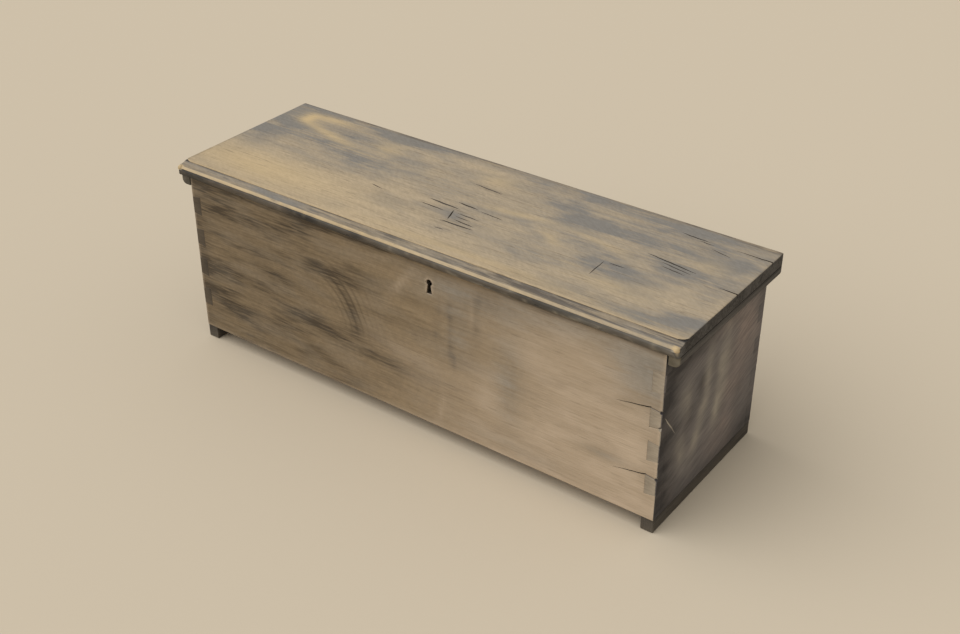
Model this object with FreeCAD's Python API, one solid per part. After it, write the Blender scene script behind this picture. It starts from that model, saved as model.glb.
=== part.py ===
import FreeCAD, Part
import math
import os

# Blanket chest. Four dovetailed boards stand on two runners and hold a nailed bottom.
# A one-board lid with a moulded front edge and two end cleats turns on butt hinges at
# the back, and a chest lock inside the front board catches a staple under the lid.
# Millimetres. +X runs right along the front, the front faces -Y and +Z is up.
# The origin is on the floor, under the middle of the whole chest.

# Case boards
CASE_LENGTH = 1200.0
CASE_DEPTH = 405.0
BOARD_HEIGHT = 384.0
BOARD_THICKNESS = 25.0

# Dovetails: the spans of the end boards' pins, measured down from the top edge
PIN_SPAN_SHARES = ((0.125, 0.235), (0.335, 0.440), (0.530, 0.640), (0.735, 0.845))
PIN_FLARE_SHARE = 1.0 / 7.0

# Bottom boards, let up into a rabbet in all four case boards
BOTTOM_THICKNESS = 18.0
BOTTOM_RABBET = 10.0
BOTTOM_CLEARANCE = 0.5
BOTTOM_BOARD_COUNT = 2
BOTTOM_BOARD_GAP = 1.0

# Runners under the ends
RUNNER_HEIGHT = 32.0
RUNNER_WIDTH = 28.0
RUNNER_SETBACK = 2.0

# Lid board and its moulded front edge
LID_THICKNESS = 28.0
LID_FRONT_OVERHANG = 12.0
LID_CORNER_RADIUS = 10.0
MOULDING_WIDTH = 26.0
QUIRK_DEPTH = 2.5
BAND_FALL = 3.5
BAND_HOLLOW = 1.0
NOSE_RADIUS = 12.0
NOSE_CENTRE_HEIGHT = 10.5

# Cleats under the lid's ends, clear of the end boards
CLEAT_THICKNESS = 24.0
CLEAT_HEIGHT = 24.0
CLEAT_SIDE_GAP = 2.0
CLEAT_ROUND = 12.0

# Butt hinges let into the back board's top edge and the lid's underside
HINGE_INSET = 220.0
HINGE_LENGTH = 76.0
HINGE_LEAF_DEPTH = 20.0
HINGE_LEAF_THICKNESS = 2.5
HINGE_BARREL_RADIUS = 4.5
HINGE_BACK_CLEARANCE = 0.5
HINGE_KNUCKLE_COUNT = 5
HINGE_KNUCKLE_GAP = 0.4
HINGE_PIN_RADIUS = 2.5
HINGE_PIN_CLEARANCE = 0.08
HINGE_PIN_HEAD_RADIUS = 3.6
HINGE_PIN_HEAD_LENGTH = 1.5
HINGE_PIN_END_PLAY = 0.2

# Chest lock in the front board
KEYHOLE_OFFSET = 66.0
KEYHOLE_DROP = 42.0
KEYHOLE_HEAD_RADIUS = 6.8
KEYHOLE_WAIST_WIDTH = 7.5
KEYHOLE_FOOT_WIDTH = 12.0
KEYHOLE_FOOT_DROP = 25.0
LOCK_PLATE_LENGTH = 104.0
LOCK_PLATE_HEIGHT = 88.0
LOCK_PLATE_THICKNESS = 2.0
LOCK_TOP_DEPTH = 17.0
LOCK_CASE_LENGTH = 76.0
LOCK_CASE_HEIGHT = 76.0
LOCK_CASE_DEPTH = 13.0
LOCK_CASE_WALL = 1.5
LOCK_CLEARANCE = 0.4
BOLT_BAR_HEIGHT = 5.0
BOLT_DEPTH = 3.5
BOLT_TOP_DROP = 5.5
BOLT_TAIL_DROP = 24.0
BOLT_TIP_LENGTH = 11.0
BOLT_TALON_WIDTH = 10.0
BOLT_TALON_HEIGHT = 6.0
BOLT_BACK_REACH = 33.0
BOLT_STAPLE_GAP = 1.0
LOCK_SPRING_LENGTH = 26.0
LOCK_SPRING_THICKNESS = 0.8
LOCK_SPRING_CLEARANCE = 0.3
DRILL_PIN_RADIUS = 2.2
DRILL_PIN_LENGTH = 16.0

# Link plate and staple under the lid
LINK_PLATE_LENGTH = 60.0
LINK_PLATE_DEPTH = 14.0
LINK_PLATE_THICKNESS = 2.0
STAPLE_OFFSET = 18.0
STAPLE_THICKNESS = 5.0
STAPLE_DEPTH = 9.0
STAPLE_DROP = 14.0
STAPLE_EYE_DEPTH = 5.0
STAPLE_EYE_TOP_DROP = 4.5
STAPLE_EYE_HEIGHT = 7.0
STAPLE_SLOT_CLEARANCE = 1.0

# Cut nails, driven up from below
NAIL_HEAD_LENGTH = 8.0
NAIL_HEAD_WIDTH = 6.0
NAIL_HEAD_THICKNESS = 2.0
NAIL_SHANK_LENGTH = 4.0
NAIL_SHANK_WIDTH = 3.0
NAIL_TIP_SHARE = 0.4
RUNNER_NAIL_LENGTH = 70.0
RUNNER_NAIL_COUNT = 4
RUNNER_NAIL_MARGIN = 45.0
BOTTOM_NAIL_LENGTH = 45.0
BOTTOM_NAIL_COUNT = 7
BOTTOM_NAIL_MARGIN = 90.0

# Slotted wood screws
SCREW_TIP_SHARE = 0.4
SCREW_SLOT_WIDTH = 0.9
SCREW_SLOT_SHARE = 0.4
SCREW_CLEARANCE = 0.2
SCREW_SINK = 0.2
CLEAT_SCREW_LENGTH = 40.0
CLEAT_SCREW_HEAD_RADIUS = 4.5
CLEAT_SCREW_RADIUS = 2.5
CLEAT_SCREW_COUNT = 4
CLEAT_SCREW_MARGIN = 40.0
HINGE_SCREW_LENGTH = 20.0
HINGE_SCREW_HEAD_RADIUS = 3.8
HINGE_SCREW_RADIUS = 2.0
HINGE_SCREW_COUNT = 3
HINGE_SCREW_MARGIN = 14.0
LOCK_SCREW_LENGTH = 14.0
LOCK_SCREW_HEAD_RADIUS = 3.2
LOCK_SCREW_RADIUS = 1.6
LOCK_SCREW_MARGIN = 6.5
LINK_SCREW_LENGTH = 16.0
LINK_SCREW_HEAD_RADIUS = 3.2
LINK_SCREW_RADIUS = 1.6
LINK_SCREW_MARGIN = 7.0

# One overrun for every cut that has to pass a face
OVERRUN = 2.0

# Levels and planes worked out from the sizes above
CASE_BOTTOM = RUNNER_HEIGHT
CASE_TOP = CASE_BOTTOM + BOARD_HEIGHT
LID_TOP = CASE_TOP + LID_THICKNESS
CASE_RIGHT = CASE_LENGTH / 2
HINGE_AXIS_REACH = HINGE_BARREL_RADIUS + HINGE_BACK_CLEARANCE
OVERALL_DEPTH = LID_FRONT_OVERHANG + CASE_DEPTH + HINGE_AXIS_REACH + HINGE_BARREL_RADIUS
NOSE_Y = -OVERALL_DEPTH / 2
CASE_FRONT = NOSE_Y + LID_FRONT_OVERHANG
CASE_BACK = CASE_FRONT + CASE_DEPTH
HINGE_AXIS_Y = CASE_BACK + HINGE_AXIS_REACH
FRONT_INNER = CASE_FRONT + BOARD_THICKNESS
BACK_INNER = CASE_BACK - BOARD_THICKNESS
END_INNER = CASE_RIGHT - BOARD_THICKNESS
LID_RIGHT = CASE_RIGHT + CLEAT_SIDE_GAP + CLEAT_THICKNESS
POCKET_RIGHT = END_INNER + BOTTOM_RABBET
POCKET_FRONT = FRONT_INNER - BOTTOM_RABBET
POCKET_BACK = BACK_INNER + BOTTOM_RABBET
POCKET_TOP = CASE_BOTTOM + BOTTOM_THICKNESS
KEY_Z = CASE_TOP - KEYHOLE_DROP
LOCK_PLATE_FRONT = FRONT_INNER - LOCK_PLATE_THICKNESS
LOCK_CASE_FRONT = LOCK_PLATE_FRONT - LOCK_CASE_DEPTH
LOCK_TOP_UNDERSIDE = CASE_TOP - LOCK_PLATE_THICKNESS
LOCK_MIDDLE_Y = LOCK_PLATE_FRONT - LOCK_CASE_DEPTH / 2
STAPLE_X = KEYHOLE_OFFSET + STAPLE_OFFSET

UP = FreeCAD.Vector(0, 0, 1)
DOWN = FreeCAD.Vector(0, 0, -1)
RIGHTWARD = FreeCAD.Vector(1, 0, 0)
BACKWARD = FreeCAD.Vector(0, 1, 0)
FORWARD = FreeCAD.Vector(0, -1, 0)
SIDES = {"left": -1, "right": 1}


def box(x_low, x_high, y_low, y_high, z_low, z_high):
    """A block between two corners, whichever way round the X pair is given."""
    x_start = min(x_low, x_high)
    corner = FreeCAD.Vector(x_start, y_low, z_low)
    return Part.makeBox(abs(x_high - x_low), y_high - y_low, z_high - z_low, corner)


def prism(points, along):
    """A closed outline of vectors pushed along a vector."""
    outline = Part.makePolygon(points + points[:1])
    return Part.Face(outline).extrude(along)


def spread(low, high, count):
    """Evenly spaced places from low to high, both ends taken."""
    step = (high - low) / (count - 1)
    return [low + step * index for index in range(count)]


def cut_all(shape, tools):
    """The shape with every tool taken out of it."""
    return shape.cut(Part.makeCompound(tools)) if tools else shape


def cut_nail(x, y, z, length):
    """A cut nail with its head on the level z, pointing up."""
    head = box(
        x - NAIL_HEAD_LENGTH / 2, x + NAIL_HEAD_LENGTH / 2,
        y - NAIL_HEAD_WIDTH / 2, y + NAIL_HEAD_WIDTH / 2,
        z, z + NAIL_HEAD_THICKNESS,
    )
    sections = []
    for level, share in ((z + NAIL_HEAD_THICKNESS, 1.0), (z + length, NAIL_TIP_SHARE)):
        half_x = NAIL_SHANK_LENGTH / 2 * share
        half_y = NAIL_SHANK_WIDTH / 2 * share
        corners = [
            FreeCAD.Vector(x - half_x, y - half_y, level),
            FreeCAD.Vector(x + half_x, y - half_y, level),
            FreeCAD.Vector(x + half_x, y + half_y, level),
            FreeCAD.Vector(x - half_x, y + half_y, level),
        ]
        sections.append(Part.makePolygon(corners + corners[:1]))
    return head.fuse(Part.makeLoft(sections, True, True)).removeSplitter()


def screw(head, along, length, head_radius, radius, grow=0.0):
    """A countersunk screw, or with grow the hole that it goes in."""
    head_height = head_radius - radius
    neck = head + along * head_height
    cone = Part.makeCone(head_radius + grow, radius + grow, head_height, head, along)
    shank_length = length - head_height + grow
    shank = Part.makeCone(radius + grow, radius * SCREW_TIP_SHARE + grow, shank_length, neck, along)
    whole = cone.fuse(shank)
    if grow:
        mouth = Part.makeCylinder(head_radius + grow, OVERRUN, head, along * -1)
        return whole.fuse(mouth)
    slot_depth = head_height * SCREW_SLOT_SHARE
    slot = Part.makeBox(SCREW_SLOT_WIDTH, head_radius * 2, slot_depth * 2)
    slot.translate(FreeCAD.Vector(-SCREW_SLOT_WIDTH / 2, -head_radius, -slot_depth))
    slot.Placement = FreeCAD.Placement(head, FreeCAD.Rotation(UP, along)).multiply(slot.Placement)
    return whole.cut(slot)


def keyhole(y_low, y_high):
    """The keyhole's round head and splayed foot between two planes."""
    through = BACKWARD * (y_high - y_low)
    centre = FreeCAD.Vector(KEYHOLE_OFFSET, y_low, KEY_Z)
    head = Part.makeCylinder(KEYHOLE_HEAD_RADIUS, y_high - y_low, centre, BACKWARD)
    half_waist = RIGHTWARD * (KEYHOLE_WAIST_WIDTH / 2)
    half_foot = RIGHTWARD * (KEYHOLE_FOOT_WIDTH / 2)
    foot = centre + DOWN * KEYHOLE_FOOT_DROP
    slot = prism([centre - half_waist, centre + half_waist, foot + half_foot, foot - half_foot], through)
    return head.fuse(slot).removeSplitter()


def corner_pins(side, y_low):
    """The pins of one end board that pass through the front or the back board."""
    outer = side * CASE_RIGHT
    inner = side * END_INNER
    flare = BOARD_THICKNESS * PIN_FLARE_SHARE / 2
    pins = []
    for top_share, bottom_share in PIN_SPAN_SHARES:
        top = CASE_TOP - BOARD_HEIGHT * top_share
        bottom = CASE_TOP - BOARD_HEIGHT * bottom_share
        outline = [
            FreeCAD.Vector(inner, y_low, bottom - flare),
            FreeCAD.Vector(outer, y_low, bottom + flare),
            FreeCAD.Vector(outer, y_low, top - flare),
            FreeCAD.Vector(inner, y_low, top + flare),
        ]
        pins.append(prism(outline, BACKWARD * BOARD_THICKNESS))
    return pins


def bottom_pocket():
    """The room that the rabbets leave for the bottom boards."""
    return box(
        -POCKET_RIGHT, POCKET_RIGHT, POCKET_FRONT, POCKET_BACK,
        CASE_BOTTOM - OVERRUN, POCKET_TOP,
    )


def bottom_nails(row_y):
    """One row of nails through the bottom boards' edge into a long board."""
    places = spread(-END_INNER + BOTTOM_NAIL_MARGIN, END_INNER - BOTTOM_NAIL_MARGIN, BOTTOM_NAIL_COUNT)
    return [cut_nail(x, row_y, CASE_BOTTOM, BOTTOM_NAIL_LENGTH) for x in places]


def front_row_nails():
    return bottom_nails(FRONT_INNER - BOTTOM_RABBET / 2)


def back_row_nails():
    return bottom_nails(BACK_INNER + BOTTOM_RABBET / 2)


def runner_nails(side):
    """Nails up through one runner into the solid part of its end board."""
    x = side * (CASE_RIGHT - (BOARD_THICKNESS - BOTTOM_RABBET) / 2)
    places = spread(FRONT_INNER + RUNNER_NAIL_MARGIN, BACK_INNER - RUNNER_NAIL_MARGIN, RUNNER_NAIL_COUNT)
    return [cut_nail(x, y, 0, RUNNER_NAIL_LENGTH) for y in places]


def cleat_screws(side, grow=0.0):
    """Screws up through one cleat into the lid."""
    x = side * (LID_RIGHT - CLEAT_THICKNESS / 2)
    level = CASE_TOP - CLEAT_HEIGHT + SCREW_SINK
    places = spread(CASE_FRONT + CLEAT_SCREW_MARGIN, CASE_BACK - CLEAT_SCREW_MARGIN, CLEAT_SCREW_COUNT)
    return [
        screw(FreeCAD.Vector(x, y, level), UP, CLEAT_SCREW_LENGTH,
              CLEAT_SCREW_HEAD_RADIUS, CLEAT_SCREW_RADIUS, grow)
        for y in places
    ]


def hinge_middle(side):
    return side * (CASE_RIGHT - HINGE_INSET)


def hinge_screws(side, along, grow=0.0):
    """Screws of one leaf: down into the back board, or up into the lid."""
    middle = hinge_middle(side)
    reach = HINGE_LENGTH / 2 - HINGE_SCREW_MARGIN
    y = CASE_BACK - HINGE_LEAF_DEPTH / 2
    level = CASE_TOP + along.z * SCREW_SINK
    return [
        screw(FreeCAD.Vector(x, y, level), along, HINGE_SCREW_LENGTH,
              HINGE_SCREW_HEAD_RADIUS, HINGE_SCREW_RADIUS, grow)
        for x in spread(middle - reach, middle + reach, HINGE_SCREW_COUNT)
    ]


def lock_screws(grow=0.0):
    """Four screws through the corners of the lock's plate, pointing forward."""
    half_length = LOCK_PLATE_LENGTH / 2 - LOCK_SCREW_MARGIN
    low = CASE_TOP - LOCK_PLATE_HEIGHT + LOCK_SCREW_MARGIN
    high = LOCK_TOP_UNDERSIDE - LOCK_SCREW_MARGIN
    y = FRONT_INNER - SCREW_SINK
    return [
        screw(FreeCAD.Vector(KEYHOLE_OFFSET + sign * half_length, y, z), FORWARD,
              LOCK_SCREW_LENGTH, LOCK_SCREW_HEAD_RADIUS, LOCK_SCREW_RADIUS, grow)
        for sign in SIDES.values()
        for z in (low, high)
    ]


def link_screws(grow=0.0):
    """Two screws up through the link plate into the lid."""
    reach = LINK_PLATE_LENGTH / 2 - LINK_SCREW_MARGIN
    return [
        screw(FreeCAD.Vector(STAPLE_X + sign * reach, LOCK_MIDDLE_Y, CASE_TOP + SCREW_SINK), UP,
              LINK_SCREW_LENGTH, LINK_SCREW_HEAD_RADIUS, LINK_SCREW_RADIUS, grow)
        for sign in SIDES.values()
    ]


def leaf_plate(side, z_low):
    """The flat of a hinge leaf, which is also the mortise that it lies in."""
    middle = hinge_middle(side)
    return box(
        middle - HINGE_LENGTH / 2, middle + HINGE_LENGTH / 2,
        CASE_BACK - HINGE_LEAF_DEPTH, CASE_BACK, z_low, z_low + HINGE_LEAF_THICKNESS,
    )


def lock_room():
    """The recesses in the front board for the lock's plate, top and case."""
    half_plate = LOCK_PLATE_LENGTH / 2
    half_case = LOCK_CASE_LENGTH / 2 + LOCK_CLEARANCE
    plate = box(
        KEYHOLE_OFFSET - half_plate, KEYHOLE_OFFSET + half_plate,
        LOCK_PLATE_FRONT, FRONT_INNER + OVERRUN, CASE_TOP - LOCK_PLATE_HEIGHT, CASE_TOP + OVERRUN,
    )
    top = box(
        KEYHOLE_OFFSET - half_plate, KEYHOLE_OFFSET + half_plate,
        FRONT_INNER - LOCK_TOP_DEPTH, FRONT_INNER, LOCK_TOP_UNDERSIDE, CASE_TOP + OVERRUN,
    )
    case = box(
        KEYHOLE_OFFSET - half_case, KEYHOLE_OFFSET + half_case,
        LOCK_CASE_FRONT - LOCK_CLEARANCE, LOCK_PLATE_FRONT,
        LOCK_TOP_UNDERSIDE - LOCK_CASE_HEIGHT - LOCK_CLEARANCE, LOCK_TOP_UNDERSIDE,
    )
    return [plate, top, case]


def staple_block(grow, z_low, z_high):
    """The staple's outline in plan between two levels, or with grow its slot."""
    half_x = STAPLE_THICKNESS / 2 + grow
    half_y = STAPLE_DEPTH / 2 + grow
    return box(
        STAPLE_X - half_x, STAPLE_X + half_x,
        LOCK_MIDDLE_Y - half_y, LOCK_MIDDLE_Y + half_y, z_low, z_high,
    )


def link_plate_block():
    half_x = LINK_PLATE_LENGTH / 2
    half_y = LINK_PLATE_DEPTH / 2
    return box(
        STAPLE_X - half_x, STAPLE_X + half_x,
        LOCK_MIDDLE_Y - half_y, LOCK_MIDDLE_Y + half_y, CASE_TOP, CASE_TOP + LINK_PLATE_THICKNESS,
    )


def front_board():
    """The tail board of the front, with the keyhole and the lock's recesses."""
    board = box(-CASE_RIGHT, CASE_RIGHT, CASE_FRONT, FRONT_INNER, CASE_BOTTOM, CASE_TOP)
    tools = [bottom_pocket(), keyhole(CASE_FRONT - OVERRUN, FRONT_INNER)]
    for side in SIDES.values():
        tools += corner_pins(side, CASE_FRONT)
    tools += lock_room() + lock_screws(SCREW_CLEARANCE) + front_row_nails()
    return cut_all(board, tools)


def back_board():
    """The tail board of the back, with the hinge leaves' mortises."""
    board = box(-CASE_RIGHT, CASE_RIGHT, BACK_INNER, CASE_BACK, CASE_BOTTOM, CASE_TOP)
    tools = [bottom_pocket()] + back_row_nails()
    for side in SIDES.values():
        tools += corner_pins(side, BACK_INNER)
        tools.append(leaf_plate(side, CASE_TOP - HINGE_LEAF_THICKNESS))
        tools += hinge_screws(side, DOWN, SCREW_CLEARANCE)
    return cut_all(board, tools)


def end_board(side):
    """An end board with pins through the front and back boards."""
    panel = box(side * END_INNER, side * CASE_RIGHT, FRONT_INNER, BACK_INNER, CASE_BOTTOM, CASE_TOP)
    pins = corner_pins(side, CASE_FRONT) + corner_pins(side, BACK_INNER)
    board = panel.multiFuse(pins).removeSplitter()
    return cut_all(board, [bottom_pocket()] + runner_nails(side))


def bottom_board(index):
    """One of the lengthwise boards of the bottom, counted from the front."""
    low = POCKET_FRONT + BOTTOM_CLEARANCE
    high = POCKET_BACK - BOTTOM_CLEARANCE
    pitch = (high - low + BOTTOM_BOARD_GAP) / BOTTOM_BOARD_COUNT
    start = low + pitch * index
    end_x = POCKET_RIGHT - BOTTOM_CLEARANCE
    board = box(-end_x, end_x, start, start + pitch - BOTTOM_BOARD_GAP, CASE_BOTTOM, POCKET_TOP)
    return cut_all(board, front_row_nails() + back_row_nails())


def runner(side):
    """The skid under one end, flush with the end board's face."""
    block = box(
        side * (CASE_RIGHT - RUNNER_WIDTH), side * CASE_RIGHT,
        CASE_FRONT + RUNNER_SETBACK, CASE_BACK - RUNNER_SETBACK, 0, RUNNER_HEIGHT,
    )
    return cut_all(block, runner_nails(side))


def lid_section():
    """The lid's cross-section at its left end: quirk, hollow band and round nose in front."""

    def at(y, z):
        return FreeCAD.Vector(-LID_RIGHT, y, CASE_TOP + z)

    def nose_y(height):
        rise = height - NOSE_CENTRE_HEIGHT
        return NOSE_Y + NOSE_RADIUS - math.sqrt(NOSE_RADIUS ** 2 - rise ** 2)

    quirk_y = NOSE_Y + MOULDING_WIDTH
    band_back = LID_THICKNESS - QUIRK_DEPTH
    band_front = band_back - BAND_FALL
    band_middle_y = (quirk_y + nose_y(band_front)) / 2
    band_middle = (band_back + band_front) / 2 - BAND_HOLLOW
    back_low = at(CASE_BACK, 0)
    back_high = at(CASE_BACK, LID_THICKNESS)
    quirk_high = at(quirk_y, LID_THICKNESS)
    quirk_low = at(quirk_y, band_back)
    nose_high = at(nose_y(band_front), band_front)
    nose_front = at(NOSE_Y, NOSE_CENTRE_HEIGHT)
    nose_low = at(nose_y(0), 0)
    edges = [
        Part.LineSegment(back_low, back_high).toShape(),
        Part.LineSegment(back_high, quirk_high).toShape(),
        Part.LineSegment(quirk_high, quirk_low).toShape(),
        Part.Arc(quirk_low, at(band_middle_y, band_middle), nose_high).toShape(),
        Part.Arc(nose_high, nose_front, nose_low).toShape(),
        Part.LineSegment(nose_low, back_low).toShape(),
    ]
    return Part.Face(Part.Wire(edges))


def lid_plan():
    """The lid's outline from above, with its front corners rounded."""
    block = box(-LID_RIGHT, LID_RIGHT, NOSE_Y - OVERRUN, CASE_BACK, CASE_TOP, LID_TOP)
    corners = []
    for side in SIDES.values():
        centre_x = side * (LID_RIGHT - LID_CORNER_RADIUS)
        centre_y = NOSE_Y + LID_CORNER_RADIUS
        square = box(
            centre_x, side * (LID_RIGHT + OVERRUN), NOSE_Y - OVERRUN, centre_y, CASE_TOP, LID_TOP,
        )
        centre = FreeCAD.Vector(centre_x, centre_y, CASE_TOP)
        corners.append(square.cut(Part.makeCylinder(LID_CORNER_RADIUS, LID_THICKNESS, centre, UP)))
    return cut_all(block, corners)


def lid_board():
    """The one-board lid, mortised below for the hinges and the link plate."""
    board = lid_section().extrude(RIGHTWARD * (LID_RIGHT * 2)).common(lid_plan())
    tools = [link_plate_block()] + link_screws(SCREW_CLEARANCE)
    for side in SIDES.values():
        tools.append(leaf_plate(side, CASE_TOP))
        tools += hinge_screws(side, UP, SCREW_CLEARANCE) + cleat_screws(side, SCREW_CLEARANCE)
    return cut_all(board, tools)


def cleat(side):
    """A batten under one end of the lid, rounded along its lower outer edge."""
    low = CASE_TOP - CLEAT_HEIGHT
    outer = side * LID_RIGHT
    inner = side * (LID_RIGHT - CLEAT_THICKNESS)
    round_x = side * (LID_RIGHT - CLEAT_ROUND)
    lean = CLEAT_ROUND * math.sqrt(0.5)

    def at(x, z):
        return FreeCAD.Vector(x, CASE_FRONT, z)

    edges = [
        Part.LineSegment(at(inner, CASE_TOP), at(inner, low)).toShape(),
        Part.LineSegment(at(inner, low), at(round_x, low)).toShape(),
        Part.Arc(
            at(round_x, low),
            at(round_x + side * lean, low + CLEAT_ROUND - lean),
            at(outer, low + CLEAT_ROUND),
        ).toShape(),
        Part.LineSegment(at(outer, low + CLEAT_ROUND), at(outer, CASE_TOP)).toShape(),
        Part.LineSegment(at(outer, CASE_TOP), at(inner, CASE_TOP)).toShape(),
    ]
    batten = Part.Face(Part.Wire(edges)).extrude(BACKWARD * CASE_DEPTH)
    return cut_all(batten, cleat_screws(side, SCREW_CLEARANCE))


def hinge_leaf(side, is_lid):
    """A leaf with its knuckles: even ones on the case, odd ones on the lid."""
    along = UP if is_lid else DOWN
    z_low = CASE_TOP if is_lid else CASE_TOP - HINGE_LEAF_THICKNESS
    start = hinge_middle(side) - HINGE_LENGTH / 2
    pitch = HINGE_LENGTH / HINGE_KNUCKLE_COUNT
    leaf = leaf_plate(side, z_low)
    for index in range(1 if is_lid else 0, HINGE_KNUCKLE_COUNT, 2):
        low = start + pitch * index + HINGE_KNUCKLE_GAP / 2
        length = pitch - HINGE_KNUCKLE_GAP
        centre = FreeCAD.Vector(low, HINGE_AXIS_Y, CASE_TOP)
        web = box(low, low + length, CASE_BACK, HINGE_AXIS_Y, z_low, z_low + HINGE_LEAF_THICKNESS)
        leaf = leaf.fuse(web).fuse(Part.makeCylinder(HINGE_BARREL_RADIUS, length, centre, RIGHTWARD))
    bore_radius = HINGE_PIN_RADIUS + HINGE_PIN_CLEARANCE
    bore_start = FreeCAD.Vector(start, HINGE_AXIS_Y, CASE_TOP)
    bore = Part.makeCylinder(bore_radius, HINGE_LENGTH, bore_start, RIGHTWARD)
    return cut_all(leaf.removeSplitter(), [bore] + hinge_screws(side, along, SCREW_CLEARANCE))


def hinge_pin(side):
    """A pin through the barrel with a flat head at each end."""
    half = HINGE_LENGTH / 2 - HINGE_KNUCKLE_GAP / 2 + HINGE_PIN_END_PLAY
    left = FreeCAD.Vector(hinge_middle(side) - half, HINGE_AXIS_Y, CASE_TOP)
    right = left + RIGHTWARD * (half * 2)
    shank = Part.makeCylinder(HINGE_PIN_RADIUS, half * 2, left, RIGHTWARD)
    left_head = Part.makeCylinder(HINGE_PIN_HEAD_RADIUS, HINGE_PIN_HEAD_LENGTH, left, RIGHTWARD * -1)
    right_head = Part.makeCylinder(HINGE_PIN_HEAD_RADIUS, HINGE_PIN_HEAD_LENGTH, right, RIGHTWARD)
    return shank.multiFuse([left_head, right_head])


def lock_plate():
    """The lock's plate inside the chest, with its top bent over the board's edge."""
    half = LOCK_PLATE_LENGTH / 2
    left = KEYHOLE_OFFSET - half
    right = KEYHOLE_OFFSET + half
    plate = box(left, right, LOCK_PLATE_FRONT, FRONT_INNER, CASE_TOP - LOCK_PLATE_HEIGHT, CASE_TOP)
    top = box(left, right, FRONT_INNER - LOCK_TOP_DEPTH, FRONT_INNER, LOCK_TOP_UNDERSIDE, CASE_TOP)
    slot = staple_block(STAPLE_SLOT_CLEARANCE, LOCK_TOP_UNDERSIDE - OVERRUN, CASE_TOP + OVERRUN)
    return cut_all(plate.fuse(top).removeSplitter(), [slot] + lock_screws(SCREW_CLEARANCE))


def lock_case():
    """The open-backed iron box round the bolt, with the keyhole in its front."""
    half = LOCK_CASE_LENGTH / 2
    low = LOCK_TOP_UNDERSIDE - LOCK_CASE_HEIGHT
    outside = box(
        KEYHOLE_OFFSET - half, KEYHOLE_OFFSET + half,
        LOCK_CASE_FRONT, LOCK_PLATE_FRONT, low, LOCK_TOP_UNDERSIDE,
    )
    inside = box(
        KEYHOLE_OFFSET - half + LOCK_CASE_WALL, KEYHOLE_OFFSET + half - LOCK_CASE_WALL,
        LOCK_CASE_FRONT + LOCK_CASE_WALL, LOCK_PLATE_FRONT + OVERRUN,
        low + LOCK_CASE_WALL, LOCK_TOP_UNDERSIDE + OVERRUN,
    )
    return cut_all(outside, [inside, keyhole(LOCK_CASE_FRONT - OVERRUN, LOCK_PLATE_FRONT)])


def lock_bolt():
    """The bolt drawn back: a bar that enters the staple and a tail that the key moves."""
    y = LOCK_MIDDLE_Y - BOLT_DEPTH / 2
    back = KEYHOLE_OFFSET - BOLT_BACK_REACH
    tip = STAPLE_X - STAPLE_THICKNESS / 2 - BOLT_STAPLE_GAP
    tail = tip - BOLT_TIP_LENGTH
    top = CASE_TOP - BOLT_TOP_DROP
    bar = top - BOLT_BAR_HEIGHT
    low = CASE_TOP - BOLT_TAIL_DROP
    talon_left = KEYHOLE_OFFSET - BOLT_TALON_WIDTH
    talon_top = low + BOLT_TALON_HEIGHT
    outline = [
        (back, top), (tip, top), (tip, bar), (tail, bar), (tail, low),
        (KEYHOLE_OFFSET, low), (KEYHOLE_OFFSET, talon_top),
        (talon_left, talon_top), (talon_left, low), (back, low),
    ]
    return prism([FreeCAD.Vector(x, y, z) for x, z in outline], BACKWARD * BOLT_DEPTH)


def lock_spring():
    """A bowed leaf between the bolt's back and the lock's top."""
    y = LOCK_MIDDLE_Y - BOLT_DEPTH / 2
    left = KEYHOLE_OFFSET - BOLT_BACK_REACH + LOCK_CASE_WALL
    right = left + LOCK_SPRING_LENGTH
    middle = (left + right) / 2
    foot = CASE_TOP - BOLT_TOP_DROP + LOCK_SPRING_CLEARANCE
    crown = LOCK_TOP_UNDERSIDE - LOCK_SPRING_THICKNESS

    def at(x, z):
        return FreeCAD.Vector(x, y, z)

    thick = UP * LOCK_SPRING_THICKNESS
    edges = [
        Part.Arc(at(left, foot), at(middle, crown), at(right, foot)).toShape(),
        Part.LineSegment(at(right, foot), at(right, foot) + thick).toShape(),
        Part.Arc(at(right, foot) + thick, at(middle, crown) + thick, at(left, foot) + thick).toShape(),
        Part.LineSegment(at(left, foot) + thick, at(left, foot)).toShape(),
    ]
    return Part.Face(Part.Wire(edges)).extrude(BACKWARD * BOLT_DEPTH)


def lock_drill_pin():
    """The pin on the plate that a hollow key turns on."""
    base = FreeCAD.Vector(KEYHOLE_OFFSET, LOCK_PLATE_FRONT, KEY_Z)
    return Part.makeCylinder(DRILL_PIN_RADIUS, DRILL_PIN_LENGTH, base, FORWARD)


def link_plate():
    """The plate let into the lid's underside, which holds the staple."""
    slot = staple_block(0, CASE_TOP - OVERRUN, CASE_TOP + LINK_PLATE_THICKNESS + OVERRUN)
    return cut_all(link_plate_block(), [slot] + link_screws(SCREW_CLEARANCE))


def link_staple():
    """The eye that drops into the lock, riveted flush through the link plate."""
    block = staple_block(0, CASE_TOP - STAPLE_DROP, CASE_TOP + LINK_PLATE_THICKNESS)
    eye_top = CASE_TOP - STAPLE_EYE_TOP_DROP
    half_x = STAPLE_THICKNESS / 2 + OVERRUN
    half_y = STAPLE_EYE_DEPTH / 2
    eye = box(
        STAPLE_X - half_x, STAPLE_X + half_x,
        LOCK_MIDDLE_Y - half_y, LOCK_MIDDLE_Y + half_y, eye_top - STAPLE_EYE_HEIGHT, eye_top,
    )
    return block.cut(eye)


def both_sides(make, *more):
    """One group of the loose solids that a function makes for each side."""
    solids = []
    for side in SIDES.values():
        solids += make(side, *more)
    return Part.makeCompound(solids)


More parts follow.
